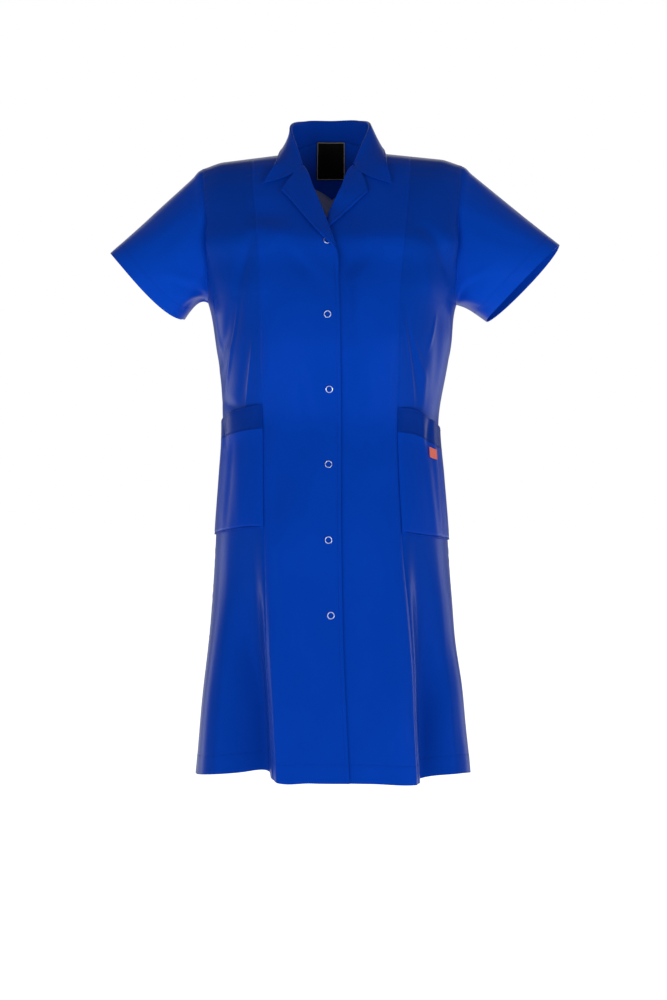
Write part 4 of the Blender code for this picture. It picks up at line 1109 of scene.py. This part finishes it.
def rib_scale(pitch):
    """Scale of a wave texture whose bands are a pitch apart, in metres."""
    return 2 * np.pi / (10 * pitch)


def twill(name, plain, deep, settings):
    """Polyester and cotton twill, piece dyed and pressed: an even colour with a low satin gloss.

    The diagonal ribs of the weave are 0.6 mm apart, too fine to show, so they are drawn 2.4 mm
    apart and faint. Broad clouds in the dye and a fine fleck of the yarns break up the colour.
    """
    material, tree, shader = new_material(name, settings)
    uv = add_node(tree, "ShaderNodeUVMap", uv_map="cloth").outputs["UV"]
    place = add_node(tree, "ShaderNodeTexCoord").outputs["Object"]
    clouds = add_node(tree, "ShaderNodeTexNoise", {"Vector": place, "Scale": 9.0, "Detail": 3.0})
    fleck = add_node(tree, "ShaderNodeTexNoise", {"Vector": uv, "Scale": 420.0, "Detail": 2.0})
    clouds, fleck = clouds.outputs["Fac"], fleck.outputs["Fac"]
    ribs = add_node(tree, "ShaderNodeTexWave",
                    {"Vector": uv, "Scale": rib_scale(0.0024 * np.sqrt(2)), "Distortion": 0.6,
                     "Detail Scale": 60.0}, wave_type="BANDS", bands_direction="DIAGONAL").outputs["Fac"]
    tone = 0.0
    for pattern, share in ((clouds, 0.55), (fleck, 0.3), (ribs, 0.15)):
        tone = add_node(tree, "ShaderNodeMath", {0: pattern, 1: share, 2: tone},
                        operation="MULTIPLY_ADD").outputs[0]
    weave = add_node(tree, "ShaderNodeMath", {0: ribs, 1: 0.6, 2: fleck}, operation="MULTIPLY_ADD").outputs[0]
    dye(tree, shader, tone, deep, plain)
    emboss(tree, shader, weave, 0.25)
    return material


def weft_ribs(tree):
    """Ribs across a narrow woven tape, 1.2 mm apart so that they show, and the UV that they follow."""
    uv = add_node(tree, "ShaderNodeUVMap", uv_map="cloth").outputs["UV"]
    ribs = add_node(tree, "ShaderNodeTexWave", {"Vector": uv, "Scale": rib_scale(0.0012)},
                    wave_type="BANDS", bands_direction="Y")
    return uv, ribs.outputs["Fac"]


def woven_label(name, ground, border, size):
    """Satin label tape, black and nearly matt, with a pale line woven in 1.1 mm from its edge."""
    material, tree, shader = new_material(name, {"Roughness": 0.6, "Specular IOR Level": 0.08})
    uv, ribs = weft_ribs(tree)
    parts = add_node(tree, "ShaderNodeSeparateXYZ", {"Vector": uv})
    nearest = []
    for axis, reach in zip("XY", size.tolist()):
        from_start = parts.outputs[axis]
        from_end = add_node(tree, "ShaderNodeMath", {0: reach, 1: from_start},
                            operation="SUBTRACT").outputs[0]
        nearest.append(add_node(tree, "ShaderNodeMath", {0: from_start, 1: from_end},
                                operation="MINIMUM").outputs[0])
    edge = add_node(tree, "ShaderNodeMath", dict(enumerate(nearest)), operation="MINIMUM").outputs[0]
    line = add_node(tree, "ShaderNodeMath", {0: edge, 1: 0.0011, 2: 0.0006}, operation="COMPARE").outputs[0]
    dye(tree, shader, line, ground, border)
    emboss(tree, shader, ribs, 0.3)
    return material


def woven_tape(name, plain, deep):
    """Taffeta tape in two close reds, dull, with a bloom of loose fibres."""
    material, tree, shader = new_material(name, {"Roughness": 0.6, "Sheen Weight": 0.15})
    ribs = weft_ribs(tree)[1]
    dye(tree, shader, ribs, deep, plain)
    emboss(tree, shader, ribs, 0.3)
    return material


def pressed_metal(name, colour):
    """Nickel-plated brass, stamped and tumbled: bright, with a fine satin grain."""
    material, tree, shader = new_material(name, {"Base Color": linear(colour), "Metallic": 1.0})
    place = add_node(tree, "ShaderNodeTexCoord").outputs["Object"]
    grain = add_node(tree, "ShaderNodeTexNoise", {"Vector": place, "Scale": 1800.0}).outputs["Fac"]
    rough = add_node(tree, "ShaderNodeMapRange", {"Value": grain, "To Min": 0.22, "To Max": 0.38})
    tree.links.new(rough.outputs["Result"], shader.inputs["Roughness"])
    return material


def spun_thread(name, plain, deep):
    """Spun polyester sewing thread: matt, a little lighter where its plies turn up, every 1.5 mm."""
    material, tree, shader = new_material(name, {"Roughness": 0.8, "Specular IOR Level": 0.1})
    place = add_node(tree, "ShaderNodeTexCoord").outputs["Object"]
    plies = add_node(tree, "ShaderNodeTexNoise", {"Vector": place, "Scale": 660.0, "Detail": 1.0})
    dye(tree, shader, plies.outputs["Fac"], deep, plain)
    return material


# ---- the coat -----------------------------------------------------------------------------------
STITCH_LINES = (
    # piece or pair of pieces, edge, distance from it, first and last share of the edge
    ("back", "lower", HEM_DEPTH, 0.0, 1.0),
    ("front", "lower", HEM_DEPTH, 0.0, 1.0),
    ("side_front", "lower", HEM_DEPTH, 0.0, 1.0),
    ("front_right", "first", EDGE_STITCH, 0.21, 1.0),
    ("sleeve", "lower", SLEEVE_HEM, 0.0, 1.0),
    ("lapel", "lower", EDGE_STITCH, 0.04, 0.97),
    ("collar", "lower", EDGE_STITCH, 0.02, 0.98),
    ("pocket", "lower", POCKET_STITCH, 0.02, 0.98),
    ("pocket_band", "lower", POCKET_STITCH, 0.02, 0.98),
    ("pocket_band", "upper", POCKET_STITCH, 0.02, 0.98),
)
THICKNESS = {"neck_label": 0.9, "pocket_tab": 1.0}   # of the two that aren't of the coat's cloth


def cloth_grids():
    """The outer side of every cloth piece, by the name of its node."""
    back_base, back = back_sheet()
    grids = {"back": back, "collar": collar_sheet(), "back_facing": facing_sheet(back_base),
             "neck_label": label_sheet(back_base), "pocket_tab": tab_sheet()}
    for side in SIDES:
        grids["side_front_" + side] = side_sheet(side)
        grids["front_" + side] = front_sheet(side)
        grids["sleeve_" + side] = sleeve_sheet(side, grids["side_front_" + side], back)
        grids["lapel_" + side] = lapel_sheet(side)
        grids["pocket_" + side] = pocket_sheet(side, "patch")
        grids["pocket_band_" + side] = pocket_sheet(side, "band")
    return grids


def build_coat():
    """Makes every piece. Gives the pieces by the name of the node each stands for, and the stitching."""
    grids = cloth_grids()
    # The twill's long flat threads give a soft blue gloss with no white in it. The copies below are one and
    # the same cloth with painted shade and light: the bands darkest, the sleeves a little lighter, the side
    # fronts a little darker.
    satin = {"Roughness": 0.31, "IOR": 1.5, "Specular IOR Level": 0.34, "Specular Tint": linear("#0f2f9a"),
             "Sheen Weight": 0.05, "Sheen Roughness": 0.3, "Sheen Tint": linear("#8f96e0")}
    cloth = twill("poly_cotton_twill", "#0642b9", "#043aa7", satin)
    # Painted shade: the bands' darker colour stands for the shade in the gaping pocket mouth.
    band = twill("poly_cotton_twill_painted_shade_band", "#063494", "#042c84", satin)
    # Painted light: the sleeves are coloured lighter than the body for the stronger light on them.
    sleeve = twill("poly_cotton_twill_on_the_sleeves", "#0748c6", "#0540b4", satin)
    # Painted shade: the side fronts are coloured darker because they turn away from the light.
    shaded_flank = twill("poly_cotton_twill_on_the_side_fronts", "#063fae", "#04379d", satin)
    # The reverse inside the coat is matt. It is painted pale grey-blue, brighter than the cloth, as painted
    # light inside the coat.
    reverse = twill("poly_cotton_twill_reverse_painted_light", "#a0a4c4", "#9498ba",
                    {"Roughness": 0.8, "Specular IOR Level": 0.15})
    label_size = cut_lengths(grids["neck_label"], False).reshape(-1, 2).max(axis=0)
    looks = {"back": (cloth, reverse), "front": (cloth, reverse), "side_front": (shaded_flank, reverse),
             "sleeve": (sleeve,), "pocket_band": (band,),
             "neck_label": (woven_label("satin_label_tape", "#020203", "#8f8779", label_size),),
             "pocket_tab": (woven_tape("orange_red_tape", "#f27a64", "#df5a49"),)}
    pieces, normals = {}, {}
    for name, grid in grids.items():
        kind = name.removesuffix("_right").removesuffix("_left")
        turned, closed = kind in ("collar", "lapel"), kind == "sleeve"
        normals[name] = turned_normals(grid) if turned else grid_normals(grid, closed)
        pieces[name] = make_cloth("coat_" + name, grid, normals[name], looks.get(kind, (cloth,)), closed,
                                  THICKNESS.get(name, CLOTH))
    # The rings' pale blue tint is a painted reflection of the blue cloth around them.
    nickel = pressed_metal("nickel_plated_brass_painted_reflection", "#dfe6ff")
    for number in range(len(STUDS["x"])):
        ring = stud_ring(number)
        index = np.arange(ring.shape[0] * ring.shape[1]).reshape(ring.shape[:2])
        faces = grid_quads(np.pad(index, ((0, 1), (0, 1)), mode="wrap"))
        name = "stud_%d" % (number + 1)
        pieces[name] = make_object("coat_" + name, ring.reshape(-1, 3), faces, None, (nickel,))
    thread = spun_thread("spun_polyester_thread", "#0a41b4", "#04309a")
    lines = [line_inside(grids[name], normals[name], *place) for piece, *place in STITCH_LINES
             for name in (piece, piece + "_right", piece + "_left") if name in grids]
    return pieces, make_stitches("coat_topstitching", lines, thread)


def declare(pieces, stitching):
    """Hangs every piece and the stitching on the root, and hides the CAD part that each piece stands for."""
    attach(stitching, "root")
    for node, piece in pieces.items():
        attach(piece, "root")
        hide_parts(node)


# ---- the studio ---------------------------------------------------------------------------------
FLOOR = -1300.0        # the floor's height
FLOOR_REACH = 60000.0  # half of its side, so that its edge is out of sight
# How brightly the white floor glows as a light, and how much more to the camera, and how brightly
# the white surroundings shine as a light.
FLOOR_GLOW, FLOOR_SEEN, SURROUNDINGS = 0.45, 0.57, 0.19
CAMERA = {"place": (0.0023, -4.0, -0.528), "lens": 62.745, "sensor": 24.0, "far": 200.0}
LIGHTS = (
    # name, position, target, width and height in metres, power in watts
    ("low_right", (-1.1, -2.7, -1.1), (0.0, 0.0, -0.5), 1.0, 0.5, 15.5),
    ("low_left", (1.1, -2.7, -1.1), (0.0, 0.0, -0.5), 1.0, 0.5, 10.3),
    ("wide_right", (-2.0, -2.1, -0.95), (0.0, 0.0, -0.5), 1.0, 0.6, 6.0),
    ("wide_left", (2.0, -2.1, -0.95), (0.0, 0.0, -0.5), 1.0, 0.6, 12.0),
    ("side_right", (-2.2, 1.2, -0.3), (0.0, 0.0, -0.45), 1.1, 2.0, 0.9),
    ("side_left", (2.2, 1.2, -0.3), (0.0, 0.0, -0.45), 1.1, 2.0, 2.0),
    ("hip_right", (-2.2, 1.2, -0.8), (0.0, 0.0, -0.8), 1.1, 0.9, 4.6),
    ("hip_left", (2.2, 1.2, -0.8), (0.0, 0.0, -0.8), 1.1, 0.9, 3.4),
    ("behind", (0.0, 2.4, 1.6), (0.0, 0.0, -0.2), 3.6, 1.6, 12.0),
)


def build_studio():
    """White floor and surroundings, low softboxes in front, broad panels beside and behind.

    Floor and surroundings are white to the camera and dimmer as lights, so that the cloth keeps
    its depth of colour.
    """
    material = bpy.data.materials.new("pale_floor")
    material.use_nodes = True
    tree = material.node_tree
    tree.nodes.clear()
    camera_ray = add_node(tree, "ShaderNodeLightPath").outputs["Is Camera Ray"]
    strength = add_node(tree, "ShaderNodeMath", {0: camera_ray, 1: FLOOR_SEEN, 2: FLOOR_GLOW},
                        operation="MULTIPLY_ADD").outputs[0]
    shader = add_node(tree, "ShaderNodeBsdfPrincipled",
                      {"Base Color": linear("#f4f4f4"), "Roughness": 0.9, "Specular IOR Level": 0.1,
                       "Emission Color": linear("#ffffff"), "Emission Strength": strength})
    add_node(tree, "ShaderNodeOutputMaterial", {"Surface": shader.outputs[0]})
    corners = np.array([(-1, -1, 0), (1, -1, 0), (1, 1, 0), (-1, 1, 0)]) * FLOOR_REACH + [0.0, 0.0, FLOOR]
    add_mesh("studio_floor", corners, [(0, 1, 2, 3)], (material,))

    world = bpy.data.worlds.new("studio")
    bpy.context.scene.world = world
    world.use_nodes = True
    tree = world.node_tree
    tree.nodes.clear()
    seen, cast = (add_node(tree, "ShaderNodeBackground", {"Color": linear("#ffffff"), "Strength": strength})
                  .outputs[0] for strength in (1.0, SURROUNDINGS))
    camera_ray = add_node(tree, "ShaderNodeLightPath").outputs["Is Camera Ray"]
    both = add_node(tree, "ShaderNodeMixShader", {0: camera_ray, 1: cast, 2: seen}).outputs[0]
    add_node(tree, "ShaderNodeOutputWorld", {"Surface": both})

    for name, position, target, width, height, power in LIGHTS:
        lamp = bpy.data.lights.new("studio_" + name, "AREA")
        lamp.shape, lamp.size, lamp.size_y, lamp.energy = "RECTANGLE", width, height, power
        holder = bpy.data.objects.new("studio_" + name, lamp)
        holder.location = position
        holder.rotation_euler = (Vector(target) - Vector(position)).to_track_quat("-Z", "Y").to_euler()
        holder.visible_camera = False
        bpy.context.collection.objects.link(holder)


def build_camera():
    """Camera level with the waist, 4 m in front, as the photograph was taken."""
    camera = bpy.data.cameras.new("photograph")
    camera.sensor_fit, camera.sensor_height = "VERTICAL", CAMERA["sensor"]
    camera.lens, camera.clip_end = CAMERA["lens"], CAMERA["far"]
    holder = bpy.data.objects.new("photograph", camera)
    holder.location = CAMERA["place"]
    holder.rotation_euler = (np.pi / 2, 0.0, 0.0)
    bpy.context.collection.objects.link(holder)
    bpy.context.scene.camera = holder


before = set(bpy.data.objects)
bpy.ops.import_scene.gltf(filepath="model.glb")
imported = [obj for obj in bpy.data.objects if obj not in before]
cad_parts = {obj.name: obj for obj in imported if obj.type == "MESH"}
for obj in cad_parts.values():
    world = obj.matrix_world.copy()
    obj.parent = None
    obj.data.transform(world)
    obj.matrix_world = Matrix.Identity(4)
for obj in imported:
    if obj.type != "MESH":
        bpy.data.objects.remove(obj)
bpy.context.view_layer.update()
bpy.context.scene.view_settings.view_transform = "Standard"
declare(*build_coat())
build_studio()
build_camera()
